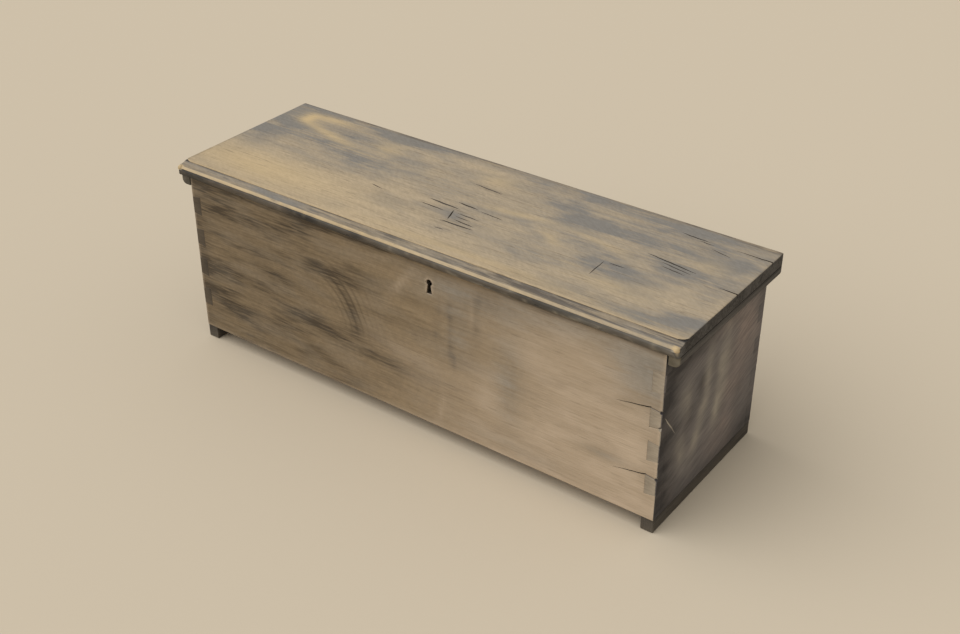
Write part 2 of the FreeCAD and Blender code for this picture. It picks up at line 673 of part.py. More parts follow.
def build():
    """Every piece of the chest under its node's name."""
    pieces = {
        "front_board": front_board(),
        "back_board": back_board(),
        "front_bottom_board": bottom_board(0),
        "back_bottom_board": bottom_board(1),
        "bottom_nails": Part.makeCompound(front_row_nails() + back_row_nails()),
        "runner_nails": both_sides(runner_nails),
        "lid_board": lid_board(),
        "cleat_screws": both_sides(cleat_screws),
        "hinge_case_screws": both_sides(hinge_screws, DOWN),
        "hinge_lid_screws": both_sides(hinge_screws, UP),
        "lock_plate": lock_plate(),
        "lock_case": lock_case(),
        "lock_bolt": lock_bolt(),
        "lock_spring": lock_spring(),
        "lock_drill_pin": lock_drill_pin(),
        "lock_screws": Part.makeCompound(lock_screws()),
        "link_plate": link_plate(),
        "link_staple": link_staple(),
        "link_screws": Part.makeCompound(link_screws()),
    }
    for name, side in SIDES.items():
        pieces[name + "_end_board"] = end_board(side)
        pieces[name + "_runner"] = runner(side)
        pieces[name + "_cleat"] = cleat(side)
        pieces[name + "_hinge_case_leaf"] = hinge_leaf(side, False)
        pieces[name + "_hinge_lid_leaf"] = hinge_leaf(side, True)
        pieces[name + "_hinge_pin"] = hinge_pin(side)
    return pieces


os.makedirs("parts", exist_ok=True)
for node, shape in build().items():
    if not shape.isValid():
        raise ValueError(node + " is not a valid shape")
    print(f"{node}: {len(shape.Solids)} solid(s), {shape.Volume:.0f} mm3")
    shape.exportStep(os.path.join("parts", node + ".step"))
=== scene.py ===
"""Looks of a dovetailed blanket chest: old pine boards, a cleated lid, iron hinges and a lock.

Metres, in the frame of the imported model. +X runs right along the front, the front faces -Y
and +Z is up.
"""

import logging
import math
from collections.abc import Callable, Iterable
from dataclasses import dataclass, field, replace
from enum import Enum

import bmesh
import bpy
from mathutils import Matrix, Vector, noise


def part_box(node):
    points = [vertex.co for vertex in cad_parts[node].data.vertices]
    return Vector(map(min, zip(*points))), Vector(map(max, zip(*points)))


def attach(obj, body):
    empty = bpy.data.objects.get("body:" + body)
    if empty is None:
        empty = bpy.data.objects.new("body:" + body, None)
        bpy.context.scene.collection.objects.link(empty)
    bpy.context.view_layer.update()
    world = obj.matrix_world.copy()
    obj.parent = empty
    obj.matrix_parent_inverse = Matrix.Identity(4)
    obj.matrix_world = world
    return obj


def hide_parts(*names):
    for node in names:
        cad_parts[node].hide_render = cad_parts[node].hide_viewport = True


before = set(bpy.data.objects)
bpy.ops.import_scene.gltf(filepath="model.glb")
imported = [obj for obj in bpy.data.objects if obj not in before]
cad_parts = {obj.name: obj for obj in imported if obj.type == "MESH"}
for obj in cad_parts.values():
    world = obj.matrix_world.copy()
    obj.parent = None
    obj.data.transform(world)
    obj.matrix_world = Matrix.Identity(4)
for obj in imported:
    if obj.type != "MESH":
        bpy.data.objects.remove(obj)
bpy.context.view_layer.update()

LOG = logging.getLogger("blanket_chest")
MM = 0.001
SIDES = ("left", "right")

# Sockets of the colour mix node, which shares its names between kinds of data
MIX_FACTOR = 0
MIX_A = 6
MIX_B = 7
MIX_COLOUR = 2

# Edges sharper than this are arrises that wear rounds over
ARRIS_ANGLE = math.radians(28)
WIDEST_WEAR = 6 * MM
WEAR_SEGMENTS = 3
SHARP_ANGLE = math.radians(38)
# Edges of the iron pieces that are eased
EASE_ANGLE = math.radians(40)
EASE_SEGMENTS = 2
WELD_REACH = 0.01 * MM

# Places nearer to each other than this are the same
SAME = 0.1 * MM
# How far past a line a place may lie and still count as on it
LEEWAY = 1 * MM
# How far a cutter stands out of the face that it cuts
PROUD = 1 * MM
# How far from a board's edge its first division lies, and how near to a division a corner joins it
FIRST_CUT = 8 * MM
CUT_REACH = 1e-6

# Cosines of a direction that leans to an axis, runs mostly along it, and lies square to a face
LEANING = 0.5
MOSTLY = 0.7
SQUARE = 0.9

# How a groove swells from its closed ends: with one open end, and with both closed
OPEN_SWELL = 0.7
CLOSED_SWELL = 0.6
# A groove's sections: their distance, the fewest of them, the least share of its size, and its wander
SCAR_STEP = 9 * MM
SCAR_SECTIONS = 4
SCAR_LEAST = 0.06
SCAR_WANDER = 1.2 * MM
SCAR_WANDER_LENGTH = 14 * MM
SCAR_SEED = 40
# A chip's unevenness, its lumps and what makes each chip differ
CHIP_ROUGHNESS = 0.25
CHIP_LUMPS = 2
CHIP_SEED = 50

Rule = Callable[[Vector], float]
EdgeRule = Callable[[Vector, Vector], float]
FaceRule = Callable[[Vector, Vector], int]
Socket = bpy.types.NodeSocket
Tree = bpy.types.NodeTree
Inputs = dict[str | int, object]
Node = bpy.types.Node
Material = bpy.types.Material
Piece = bpy.types.Object
Solid = bmesh.types.BMesh


class Axis(Enum):
    """An axis of the frame."""

    X = 0
    Y = 1
    Z = 2


class Grain(Enum):
    """Which way a board's fibres run, as the turn that lays them along X."""

    ALONG_X = (0.0, 0.0, 0.0)
    ALONG_Y = (0.0, 0.0, -math.pi / 2)


class Layer(Enum):
    """What the weather and use did to a place on a board, with painted shade and highlights on some boards,
    kept as a mesh attribute.
    """

    BARE = "bare"
    TONED = "toned"
    DARK = "dark"
    FIGURE = "figure"


class Joinery(Enum):
    """What a solid does to the piece that it is set into."""

    CUT = "DIFFERENCE"
    ADD = "UNION"


class Taper(Enum):
    """How a groove's width runs along it."""

    OPEN_END = "open_end"
    BOTH_ENDS = "both_ends"

    def share(self, along: float) -> float:
        """Gives the groove's width at a place along it.

        Args:
            along: the place, from 0 at the start to 1 at the end.

        Returns:
            The part of the full width.
        """
        if self is Taper.OPEN_END:
            return along ** OPEN_SWELL
        return math.sin(math.pi * along) ** CLOSED_SWELL


def linear(code: str) -> tuple[float, float, float, float]:
    """Turns an sRGB hex code into linear colour.

    Args:
        code: the colour as #RRGGBB.

    Returns:
        Red, green, blue and an alpha of 1.
    """
    channels = [int(code[start:start + 2], 16) / 255 for start in (1, 3, 5)]
    red, green, blue = (c / 12.92 if c <= 0.04045 else ((c + 0.055) / 1.055) ** 2.4 for c in channels)
    return red, green, blue, 1.0


def set_inputs(tree: Tree, node: Node, inputs: Inputs) -> None:
    """Links or sets a node's inputs.

    Args:
        tree: the node tree that it is in.
        node: the node.
        inputs: by input, a socket to link from or a value to set.
    """
    for key, value in inputs.items():
        if isinstance(value, Socket):
            tree.links.new(value, node.inputs[key])
        else:
            node.inputs[key].default_value = value


def add_node(tree: Tree, kind: str, inputs: Inputs | None = None, **settings: object) -> Node:
    """Adds a node with its settings and links.

    Args:
        tree: the node tree that it goes into.
        kind: Blender's name for the node.
        inputs: by input, a socket to link from or a value to set.
        settings: the node's own properties.

    Returns:
        The new node.
    """
    node = tree.nodes.new(kind)
    for name, value in settings.items():
        setattr(node, name, value)
    set_inputs(tree, node, inputs or {})
    return node


def new_material(name: str) -> tuple[Material, Tree, Node]:
    """Makes a material with nothing but its surface.

    Args:
        name: the material's name.

    Returns:
        The material, its node tree and its surface's node.
    """
    material = bpy.data.materials.new(name)
    material.use_nodes = True
    tree = material.node_tree
    return material, tree, tree.nodes["Principled BSDF"]


def lay_over(tree: Tree, pattern: Socket, depth: float, under: Socket | tuple, over: str) -> Socket:
    """Lays one colour over another where a pattern is strong.

    Args:
        tree: the node tree.
        pattern: where the upper colour shows, from 0 to 1.
        depth: the most of the upper colour that shows.
        under: the lower colour.
        over: the upper colour's code.

    Returns:
        The mixed colour.
    """
    amount = add_node(tree, "ShaderNodeMath", {0: pattern, 1: depth}, operation="MULTIPLY")
    mixed = add_node(
        tree, "ShaderNodeMix",
        {MIX_FACTOR: amount.outputs[0], MIX_A: under, MIX_B: linear(over)}, data_type="RGBA",
    )
    return mixed.outputs[MIX_COLOUR]


@dataclass(frozen=True)
class Pattern:
    """A noise whose spots have a real size in each direction, in millimetres."""

    size_mm: tuple[float, ...]
    # How many finer layers are added
    detail: float
    # The part of the noise that is stretched from 0 to 1, with soft ends
    span: tuple[float, float]

    def sized(self, *size_mm: float) -> "Pattern":
        """The same noise with spots of another size."""
        return replace(self, size_mm=size_mm)

    def draw(self, tree: Tree, place: Socket) -> Socket:
        """Adds the noise to a material.

        Args:
            tree: the node tree.
            place: coordinates in metres.

        Returns:
            The noise, from 0 to 1.
        """
        per_metre = tuple(1 / (size * MM) for size in self.size_mm)
        scaled = add_node(tree, "ShaderNodeVectorMath", {0: place, 1: per_metre}, operation="MULTIPLY")
        spots = add_node(
            tree, "ShaderNodeTexNoise", {"Vector": scaled.outputs[0], "Scale": 1.0, "Detail": self.detail},
        )
        stretched = add_node(
            tree, "ShaderNodeMapRange",
            {"Value": spots.outputs[0], "From Min": self.span[0], "From Max": self.span[1]},
            interpolation_type="SMOOTHSTEP",
        )
        return stretched.outputs[0]


# Patterns of pine, by their sizes along the fibres, across them and through the board
SMEARS = Pattern((330, 19, 19), 3.0, (0.42, 0.66))
COARSE_FIBRES = Pattern((220, 6, 6), 4.0, (0.38, 0.66))
FINE_FIBRES = Pattern((60, 2.2, 2.2), 3.0, (0.36, 0.68))
DIRT_PATCHES = Pattern((210, 48, 48), 4.0, (0.42, 0.7))
CLOUDS = Pattern((150, 30, 30), 5.0, (0.4, 0.68))
RING_DRIFT = Pattern((520, 90, 90), 2.0, (0.2, 0.8))
LOOP_DRIFT = Pattern((240, 240, 130), 1.0, (0.2, 0.8))
# Flecks and strokes are drawn coarser than real pores, so that they show at the picture's scale
FLECKS = Pattern((50, 3.2, 3.2), 2.0, (0.61, 0.71))
STROKES = Pattern((56, 4.2, 4.2), 4.0, (0.3, 0.7))
# Scuffs from scrubbing are drawn coarser than real ones too
SCUFFS = Pattern((12, 5, 5), 3.0, (0.32, 0.68))
# Patterns of iron
RUST = Pattern((14, 14, 14), 5.0, (0.0, 1.0))
PITS = Pattern((3, 3, 3), 4.0, (0.2, 0.8))


@dataclass(frozen=True)
class Hairpin:
    """Flat-sawn growth figure on a face: nested loops whose round ends point along +X."""

    centre: tuple[float, float]
    pitch_mm: float
    # How many loops the lines drift by, and where each line starts and is full
    drift: float = 1.2
    line: tuple[float, float] = (0.15, 0.5)

    def distance(self, across: float, up: float) -> float:
        """How far out a place on the face lies, in metres."""
        return math.hypot(max(0.0, across - self.centre[0]), up - self.centre[1])

    def lines(self, tree: Tree, place: Socket) -> Socket:
        """Adds the loops' dark lines.

        Args:
            tree: the node tree.
            place: coordinates in metres.

        Returns:
            From 0 between the lines to 1 on them.
        """
        from_centre = add_node(
            tree, "ShaderNodeVectorMath", {0: place, 1: (self.centre[0], 0.0, self.centre[1])},
            operation="SUBTRACT",
        )
        axes = add_node(tree, "ShaderNodeSeparateXYZ", {0: from_centre.outputs[0]})
        beyond = add_node(tree, "ShaderNodeMath", {0: axes.outputs["X"], 1: 0.0}, operation="MAXIMUM")
        arm = add_node(tree, "ShaderNodeCombineXYZ", {"X": beyond.outputs[0], "Z": axes.outputs["Z"]})
        out = add_node(tree, "ShaderNodeVectorMath", {0: arm.outputs[0]}, operation="LENGTH")
        loops = add_node(
            tree, "ShaderNodeMath", {0: out.outputs["Value"], 1: 1 / (self.pitch_mm * MM)},
            operation="MULTIPLY",
        )
        bent = add_node(
            tree, "ShaderNodeMath", {0: LOOP_DRIFT.draw(tree, place), 1: self.drift, 2: loops.outputs[0]},
            operation="MULTIPLY_ADD",
        )
        swing = add_node(tree, "ShaderNodeMath", {0: bent.outputs[0], 1: 0.5}, operation="PINGPONG")
        soft = add_node(
            tree, "ShaderNodeMapRange",
            {"Value": swing.outputs[0], "From Min": self.line[0], "From Max": self.line[1]},
            interpolation_type="SMOOTHSTEP",
        )
        return soft.outputs[0]


@dataclass(frozen=True)
class PineFinish:
    """Old pine, planed by hand, rubbed and dirtied by use.

    The eye gets soft early wood between darker ring lines, streaks and flecks along the fibres,
    toned and darkened patches, and pale bare wood where hands and knocks wore the arrises.
    On some boards these patches also carry painted shade and painted highlights.
    """

    name: str
    early: str
    late: str
    dark: str
    toned: str
    bare: str
    grain: Grain = Grain.ALONG_X
    # Where the pith runs across the fibres, how far it leans, and the part of the lean that tips it
    pith: tuple[float, float] = (-0.08, 0.20)
    lean: float = 0.10
    tip: float = 0.4
    # The rings' width, how many of them they drift by, and where late wood starts and is full
    ring_mm: float = 9.0
    ring_drift: float = 3.5
    late_wood: tuple[float, float] = (0.35, 0.98)
    ring_depth: float = 0.45
    smear_depth: float = 0.3
    streak_depth: float = 0.45
    fleck_depth: float = 0.0
    mottle_dark: float = 0.25
    mottle_toned: float = 0.25
    clouds: Pattern = CLOUDS
    # How a weathered layer covers: plainly, more in patches, and less where fibres fray it
    cover: float = 0.85
    blotch: float = 0.7
    fray: float = 0.45
    bare_blotch: float = 0.25
    bare_fray: float = 0.15
    # How far dark places break up into strokes along the fibres
    stroke: float = 0.0
    scuffs: Pattern = SCUFFS
    scuff_turn: tuple[float, float, float] = (0.0, 0.0, 0.0)
    scuff_depth: float = 0.12
    figure: Hairpin | None = None
    relief: float = 0.35
    relief_height: float = 0.5 * MM
    roughness: tuple[float, float] = (0.55, 0.78)
    gloss: float = 0.3

    def build(self) -> Material:
        """Makes the material, or finds it if it was made before.

        Returns:
            The pine as a node material.
        """
        made = bpy.data.materials.get(self.name)
        if made:
            return made
        material, tree, shader = new_material(self.name)
        place = add_node(tree, "ShaderNodeTexCoord").outputs["Object"]
        turned = add_node(tree, "ShaderNodeMapping", {"Vector": place, "Rotation": self.grain.value})
        fibre = turned.outputs[0]
        coarse = COARSE_FIBRES.draw(tree, fibre)
        fine = FINE_FIBRES.draw(tree, fibre)
        cloud = self.clouds.draw(tree, fibre)
        dirt = DIRT_PATCHES.draw(tree, fibre)
        scrubbed = add_node(tree, "ShaderNodeMapping", {"Vector": place, "Rotation": self.scuff_turn})
        scuffs = self.scuffs.draw(tree, scrubbed.outputs[0])
        streaks = add_node(tree, "ShaderNodeMath", {0: coarse, 1: fine}, operation="MULTIPLY").outputs[0]
        colour = lay_over(tree, self.rings(tree, fibre), self.ring_depth, linear(self.early), self.late)
        colour = lay_over(tree, SMEARS.draw(tree, fibre), self.smear_depth, colour, self.late)
        colour = lay_over(tree, streaks, self.streak_depth, colour, self.dark)
        darkened = self.layer(tree, Layer.DARK, dirt, self.mottle_dark, coarse)
        colour = lay_over(tree, self.broken(tree, darkened, fibre), 1.0, colour, self.dark)
        toned = self.layer(tree, Layer.TONED, cloud, self.mottle_toned, coarse)
        colour = lay_over(tree, toned, 1.0, colour, self.toned)
        colour = lay_over(tree, scuffs, self.scuff_depth, colour, self.dark)
        colour = lay_over(tree, self.layer(tree, Layer.BARE, cloud, 0.0, fine), 1.0, colour, self.bare)
        if self.figure:
            shown = add_node(tree, "ShaderNodeAttribute", attribute_name=Layer.FIGURE.value).outputs["Fac"]
            lines = self.figure.lines(tree, place)
            drawn = add_node(tree, "ShaderNodeMath", {0: lines, 1: shown}, operation="MULTIPLY").outputs[0]
            colour = lay_over(tree, drawn, 1.0, colour, self.dark)
        if self.fleck_depth:
            colour = lay_over(tree, FLECKS.draw(tree, fibre), self.fleck_depth, colour, self.dark)
        rough = add_node(
            tree, "ShaderNodeMapRange",
            {"Value": coarse, "To Min": self.roughness[0], "To Max": self.roughness[1]},
        )
        relief = add_node(tree, "ShaderNodeMath", {0: fine, 1: coarse}, operation="ADD")
        bump = add_node(
            tree, "ShaderNodeBump",
            {"Strength": self.relief, "Distance": self.relief_height, "Height": relief.outputs[0]},
            invert=True,
        )
        set_inputs(tree, shader, {
            "Base Color": colour, "Roughness": rough.outputs[0], "Specular IOR Level": self.gloss,
            "Normal": bump.outputs[0],
        })
        return material

    def rings(self, tree: Tree, fibre: Socket) -> Socket:
        """Adds the year rings round a pith line that leans through the tree.

        Args:
            tree: the node tree.
            fibre: coordinates in metres with the fibres along X.

        Returns:
            From 0 in early wood to 1 at the end of late wood.
        """
        pith = add_node(
            tree, "ShaderNodeMapping",
            {"Vector": fibre, "Rotation": (0.0, self.lean * self.tip, self.lean),
             "Location": (0.0, -self.pith[0], -self.pith[1])},
        )
        across = add_node(
            tree, "ShaderNodeVectorMath", {0: pith.outputs[0], 1: (0.0, 1.0, 1.0)}, operation="MULTIPLY",
        )
        radius = add_node(tree, "ShaderNodeVectorMath", {0: across.outputs[0]}, operation="LENGTH")
        years = add_node(
            tree, "ShaderNodeMath", {0: radius.outputs["Value"], 1: 1 / (self.ring_mm * MM)},
            operation="MULTIPLY",
        )
        bent = add_node(
            tree, "ShaderNodeMath",
            {0: RING_DRIFT.draw(tree, fibre), 1: self.ring_drift, 2: years.outputs[0]},
            operation="MULTIPLY_ADD",
        )
        season = add_node(tree, "ShaderNodeMath", {0: bent.outputs[0]}, operation="FRACT")
        late = add_node(
            tree, "ShaderNodeMapRange",
            {"Value": season.outputs[0], "From Min": self.late_wood[0], "From Max": self.late_wood[1]},
            interpolation_type="SMOOTHSTEP",
        )
        return late.outputs[0]

    def layer(self, tree: Tree, kind: Layer, patch: Socket, mottle: float, breakup: Socket) -> Socket:
        """Adds where a weathered layer lies, by the board's attribute and broken up by the fibres.

        Args:
            tree: the node tree.
            kind: the attribute that says where.
            patch: a pattern that adds patches of its own.
            mottle: how strong those patches are.
            breakup: a fibre pattern that frays the edges.

        Returns:
            How far the layer covers, from 0 to 1.
        """
        fray = self.bare_fray if kind is Layer.BARE else self.fray
        blotch = self.bare_blotch if kind is Layer.BARE else self.blotch
        painted = add_node(tree, "ShaderNodeAttribute", attribute_name=kind.value).outputs["Fac"]
        frayed = add_node(
            tree, "ShaderNodeMath", {0: breakup, 1: -fray, 2: self.cover}, operation="MULTIPLY_ADD",
        )
        blotched = add_node(
            tree, "ShaderNodeMath", {0: patch, 1: blotch, 2: frayed.outputs[0]}, operation="MULTIPLY_ADD",
        )
        edged = add_node(tree, "ShaderNodeMath", {0: painted, 1: blotched.outputs[0]}, operation="MULTIPLY")
        whole = add_node(
            tree, "ShaderNodeMath", {0: patch, 1: mottle, 2: edged.outputs[0]},
            operation="MULTIPLY_ADD", use_clamp=True,
        )
        return whole.outputs[0]

    def broken(self, tree: Tree, covered: Socket, fibre: Socket) -> Socket:
        """Breaks a layer up into strokes along the fibres.

        Args:
            tree: the node tree.
            covered: how far the layer covers.
            fibre: coordinates in metres with the fibres along X.

        Returns:
            How far the broken layer covers, from 0 to 1.
        """
        if not self.stroke:
            return covered
        strokes = add_node(
            tree, "ShaderNodeMath",
            {0: STROKES.draw(tree, fibre), 1: 2 * self.stroke, 2: 1 - self.stroke},
            operation="MULTIPLY_ADD",
        )
        shown = add_node(
            tree, "ShaderNodeMath", {0: covered, 1: strokes.outputs[0]},
            operation="MULTIPLY", use_clamp=True,
        )
        return shown.outputs[0]


@dataclass(frozen=True)
class IronFinish:
    """Wrought iron, hammered flat and left to brown: dark grey with rust in its pits."""

    name: str
    iron: str
    rust: str
    # Where in its noise the rust starts, and how soon it is full
    rust_from: float
    rust_reach: float = 0.16
    pit_mm: float = 3.0
    pit_strength: float = 0.4
    pit_depth: float = 0.3 * MM
    # On clean iron and on rust
    metal: tuple[float, float] = (0.9, 0.0)
    roughness: tuple[float, float] = (0.42, 0.85)

    def build(self) -> Material:
        """Makes the material.

        Returns:
            The iron as a node material.
        """
        material, tree, shader = new_material(self.name)
        place = add_node(tree, "ShaderNodeTexCoord").outputs["Object"]
        rusted = replace(RUST, span=(self.rust_from, self.rust_from + self.rust_reach)).draw(tree, place)
        pits = PITS.sized(self.pit_mm, self.pit_mm, self.pit_mm).draw(tree, place)
        metal, rough = (
            add_node(tree, "ShaderNodeMapRange", {"Value": rusted, "To Min": clean, "To Max": full})
            for clean, full in (self.metal, self.roughness)
        )
        bump = add_node(
            tree, "ShaderNodeBump",
            {"Strength": self.pit_strength, "Distance": self.pit_depth, "Height": pits}, invert=True,
        )
        set_inputs(tree, shader, {
            "Base Color": lay_over(tree, rusted, 1.0, linear(self.iron), self.rust),
            "Metallic": metal.outputs[0], "Roughness": rough.outputs[0], "Normal": bump.outputs[0],
        })
        return material


# Lid: sun-bleached tan with greyed patches, the palest wood of the chest
LID_PINE = PineFinish(
    "bleached_pine_lid", "#BBA88B", "#9D8E77", "#564D43", "#807C76", "#CCB284",
    pith=(0.02, 0.30), lean=0.03, ring_mm=11.0, ring_depth=0.15, smear_depth=0.22, streak_depth=0.36,
    fleck_depth=0.4, mottle_dark=0.1, mottle_toned=0.3, clouds=CLOUDS.sized(120, 42, 42), blotch=0.6,
    fray=0.55, stroke=0.5, scuffs=SCUFFS.sized(17, 6, 6), scuff_turn=(0.0, 0.0, 0.6), scuff_depth=0.16,
)
# Face under the lid's bead: grime and painted shade of the nose's lower half, with pale knocks
FASCIA_PINE = PineFinish(
    "grimy_shaded_pine_lid_front", "#5E5346", "#4C4338", "#24211E", "#6B665D", "#B0A48E",
    pith=(0.02, 0.30), ring_mm=8.0, mottle_dark=0.7, mottle_toned=0.3,
)
# Sawn ends of the lid: dirt sits in the open end grain, and painted shade of an end turned from the lamp
# turns it nearly black
LID_END_PINE = PineFinish(
    "grimy_shaded_pine_lid_end", "#454140", "#383534", "#242222", "#5A5856", "#8C8069",
    pith=(0.02, 0.30), ring_mm=8.0,
)
# Cleats: dark handled pine, darker still with painted shade of the ends turned from the lamp
CLEAT_PINE = PineFinish(
    "dark_shaded_pine_cleat", "#433F3D", "#373432", "#232122", "#5C5855", "#8E8472",
    grain=Grain.ALONG_Y, pith=(0.0, 0.36), ring_mm=7.0,
)
# Sawn ends of the cleats: greyed wood
CLEAT_END_PINE = PineFinish(
    "grey_pine_cleat_end", "#4B463F", "#3D3934", "#2A2725", "#68645B", "#A99C80",
    pith=(0.0, 0.36), ring_mm=6.0,
)
# Front: brown under old handling on the left, rubbed to tan on the right
FRONT_PINE = PineFinish(
    "brown_pine_front", "#8F7C61", "#7A684C", "#463B2D", "#8B857B", "#BBA891",
    pith=(-0.09, 0.20), lean=0.05, ring_mm=12.0, ring_depth=0.2, smear_depth=0.25, streak_depth=0.22,
    fleck_depth=0.2, mottle_dark=0.25, mottle_toned=0.15, clouds=CLOUDS.sized(120, 40, 40), blotch=0.9,
    fray=0.4, stroke=0.48, scuffs=SCUFFS.sized(11, 7, 9), scuff_depth=0.16,
    figure=Hairpin((-0.25, 0.19), 15.0),
)
# Ends: the darkest boards, their darkness partly painted shade of a side turned from the lamp, rubbed paler
# in patches and browner towards the back
END_PINE = PineFinish(
    "dark_shaded_pine_end", "#7A7471", "#6A6563", "#2F2D2F", "#8E8078", "#AEA594",
    grain=Grain.ALONG_Y, pith=(-0.50, 0.22), lean=0.1, ring_depth=0.03, smear_depth=0.03, streak_depth=0.04,
    mottle_dark=0.2, mottle_toned=0.1, clouds=CLOUDS.sized(55, 55, 55), blotch=0.5, fray=0.0,
    bare_blotch=0.8, scuffs=SCUFFS.sized(22, 46, 3.6), scuff_turn=(-0.3, 0.0, 0.0), scuff_depth=0.4,
    relief=0.06, roughness=(0.7, 0.72),
)
# Back: stood against a wall, so evenly dusty and brown
BACK_PINE = PineFinish(
    "dusty_pine_back", "#85745E", "#6D5C48", "#54483A", "#857F74", "#A39077",
    pith=(0.10, 0.24), lean=-0.1, mottle_dark=0.35, mottle_toned=0.3,
)
# Sawn end grain of the pins, a little greyer than the rubbed or the brown front round them
RUBBED_PIN_PINE = PineFinish(
    "grey_pine_pin_ends", "#AA9D8A", "#9C907E", "#5D5347", "#A89F92", "#BBAB93",
    pith=(-0.50, 0.22), ring_mm=5.0, streak_depth=0.2, mottle_dark=0.05, mottle_toned=0.1, blotch=0.2,
)
BROWN_PIN_PINE = PineFinish(
    "brown_pine_pin_ends", "#5D5244", "#4F4539", "#352E26", "#60574A", "#74685A",
    pith=(-0.50, 0.22), ring_mm=5.0, mottle_toned=0.1,
)
# Inside and bottom: never finished, so yellow-brown and dry
INSIDE_PINE = PineFinish(
    "dry_pine_inside", "#AF9670", "#8F7550", "#6B573E", "#968B7A", "#BDA680",
    pith=(-0.09, 0.20), ring_mm=9.0, mottle_dark=0.12,
)
BOTTOM_PINE = PineFinish(
    "dry_pine_bottom", "#A48C68", "#866D4B", "#64513A", "#8F8575", "#B39C77",
    pith=(0.03, 0.14), lean=0.07,
)
# Runners: damp and dirt of the floor
RUNNER_PINE = PineFinish(
    "damp_pine_runner", "#564E45", "#453F38", "#2C2927", "#5C5852", "#766C5C",
    grain=Grain.ALONG_Y, pith=(0.0, -0.03), ring_mm=6.0, ring_depth=0.6,
)
# Splits and dents, and the other grooves and recesses: dirt packed into torn fibres, with painted shade in
# the hollows
DIRT_AND_SHADE_PINE = PineFinish(
    "dirty_shaded_pine_split", "#4A4136", "#3A332A", "#2A2520", "#46413A", "#554C3F", ring_mm=6.0,
)
# Iron: the hinges and nails browned all over, the lock and screws less
HINGE_IRON = IronFinish("browned_wrought_iron_hinge", "#4A4643", "#5C4232", 0.50)
LOCK_IRON = IronFinish("wrought_iron_lock", "#55514D", "#5E4636", 0.56)
SCREW_IRON = IronFinish("turned_iron_screw", "#5A5652", "#604836", 0.56, pit_mm=1.5)
NAIL_IRON = IronFinish("rusty_cut_nail", "#45403C", "#66442F", 0.40, pit_mm=1.5)


@dataclass(frozen=True)
class Blot:
    """A soft-edged oval patch on one face of a board."""

    centre: tuple[float, float]
    reach: tuple[float, float]
    amount: float
    turn: float = 0.0

    def at(self, across: float, up: float) -> float:
        """Gives the patch's strength at a place.

        Args:
            across: the place along the face.
            up: the place up the face.

        Returns:
            The strength, which is the patch's amount in its middle.
        """
        aside = across - self.centre[0]
        above = up - self.centre[1]
        cosine = math.cos(self.turn)
        sine = math.sin(self.turn)
        first = (cosine * aside + sine * above) / self.reach[0]
        second = (cosine * above - sine * aside) / self.reach[1]
        return self.amount * math.exp(-first * first - second * second)


@dataclass(frozen=True)
class Rim:
    """A soft strip along an edge or a level: its strength in the middle, and its reach to each side."""

    amount: float
    reach: float

    def at(self, distance: float) -> float:
        """The strip's strength at a distance from its middle."""
        return self.amount * math.exp(-(distance / self.reach) ** 2)


@dataclass(frozen=True)
class Mottle:
    """Unevenness from place to place: its strength, and how fast it changes along each axis."""

    amount: float
    per_metre: tuple[float, float, float]
    shift: tuple[float, float, float] = (0.0, 0.0, 0.0)

    def at(self, place: Vector) -> float:
        """How far a place lies above or below the even value."""
        scaled = Vector(along * rate + by for along, rate, by in zip(place, self.per_metre, self.shift))
        return self.amount * noise.noise(scaled)


@dataclass(frozen=True)
class Scar:
    """A split or a dent: a narrow groove along a face."""

    start: tuple[float, float]
    end: tuple[float, float]
    width: float
    depth: float
    taper: Taper = Taper.BOTH_ENDS

    def distance(self, across: float, up: float) -> float:
        """Gives how far a place on the face lies from the groove's line.

        Args:
            across: the place along the face.
            up: the place up the face.

        Returns:
            The distance in metres.
        """
        start = Vector(self.start)
        run = Vector(self.end) - start
        arm = Vector((across, up)) - start
        along = min(1.0, max(0.0, arm.dot(run) / run.length_squared))
        return (arm - run * along).length

    def cutter(self, place: Callable[[float, float, float], Vector]) -> Solid:
        """Makes the wedge that cuts the groove.

        Args:
            place: gives the point at two places on the face and a height above it.

        Returns:
            A closed wedge that stands a little proud of the face.
        """
        start = Vector(self.start)
        run = Vector(self.end) - start
        side = Vector((-run.y, run.x)).normalized()
        count = max(SCAR_SECTIONS, round(run.length / SCAR_STEP))
        shape = bmesh.new()
        sections = []
        for index in range(count + 1):
            along = index / count
            share = max(SCAR_LEAST, self.taper.share(along))
            bend = (along * run.length / SCAR_WANDER_LENGTH, start.x * SCAR_SEED, start.y * SCAR_SEED)
            middle = start + run * along + side * (noise.noise(Vector(bend)) * SCAR_WANDER)
            depth = self.depth * share
            half = self.width / 2 * share * (depth + PROUD) / depth
            left = middle - side * half
            right = middle + side * half
            sections.append([
                shape.verts.new(place(left.x, left.y, PROUD)),
                shape.verts.new(place(right.x, right.y, PROUD)),
                shape.verts.new(place(middle.x, middle.y, -depth)),
            ])
        for first, second in zip(sections, sections[1:]):
            for index in range(3):
                after = (index + 1) % 3
                shape.faces.new((first[index], first[after], second[after], second[index]))
        shape.faces.new(sections[0])
        shape.faces.new(sections[-1])
        bmesh.ops.recalc_face_normals(shape, faces=shape.faces)
        return shape


def spread(blots: Iterable[Blot], across: float, up: float) -> float:
    """The strength of several patches together at a place on their face."""
    return sum(blot.at(across, up) for blot in blots)


def ramp(value: float, start: float, reach: float) -> float:
    """A soft step from 0 to 1 round a start."""
    return 1 / (1 + math.exp((start - value) / reach))


def near(value: float, target: float) -> bool:
    """Whether two places are the same."""
    return abs(value - target) < SAME


def evenly(first: float, last: float, count: int) -> list[float]:
    """Places at even distances from the first to the last."""
    return [first + (last - first) * index / (count - 1) for index in range(count)]


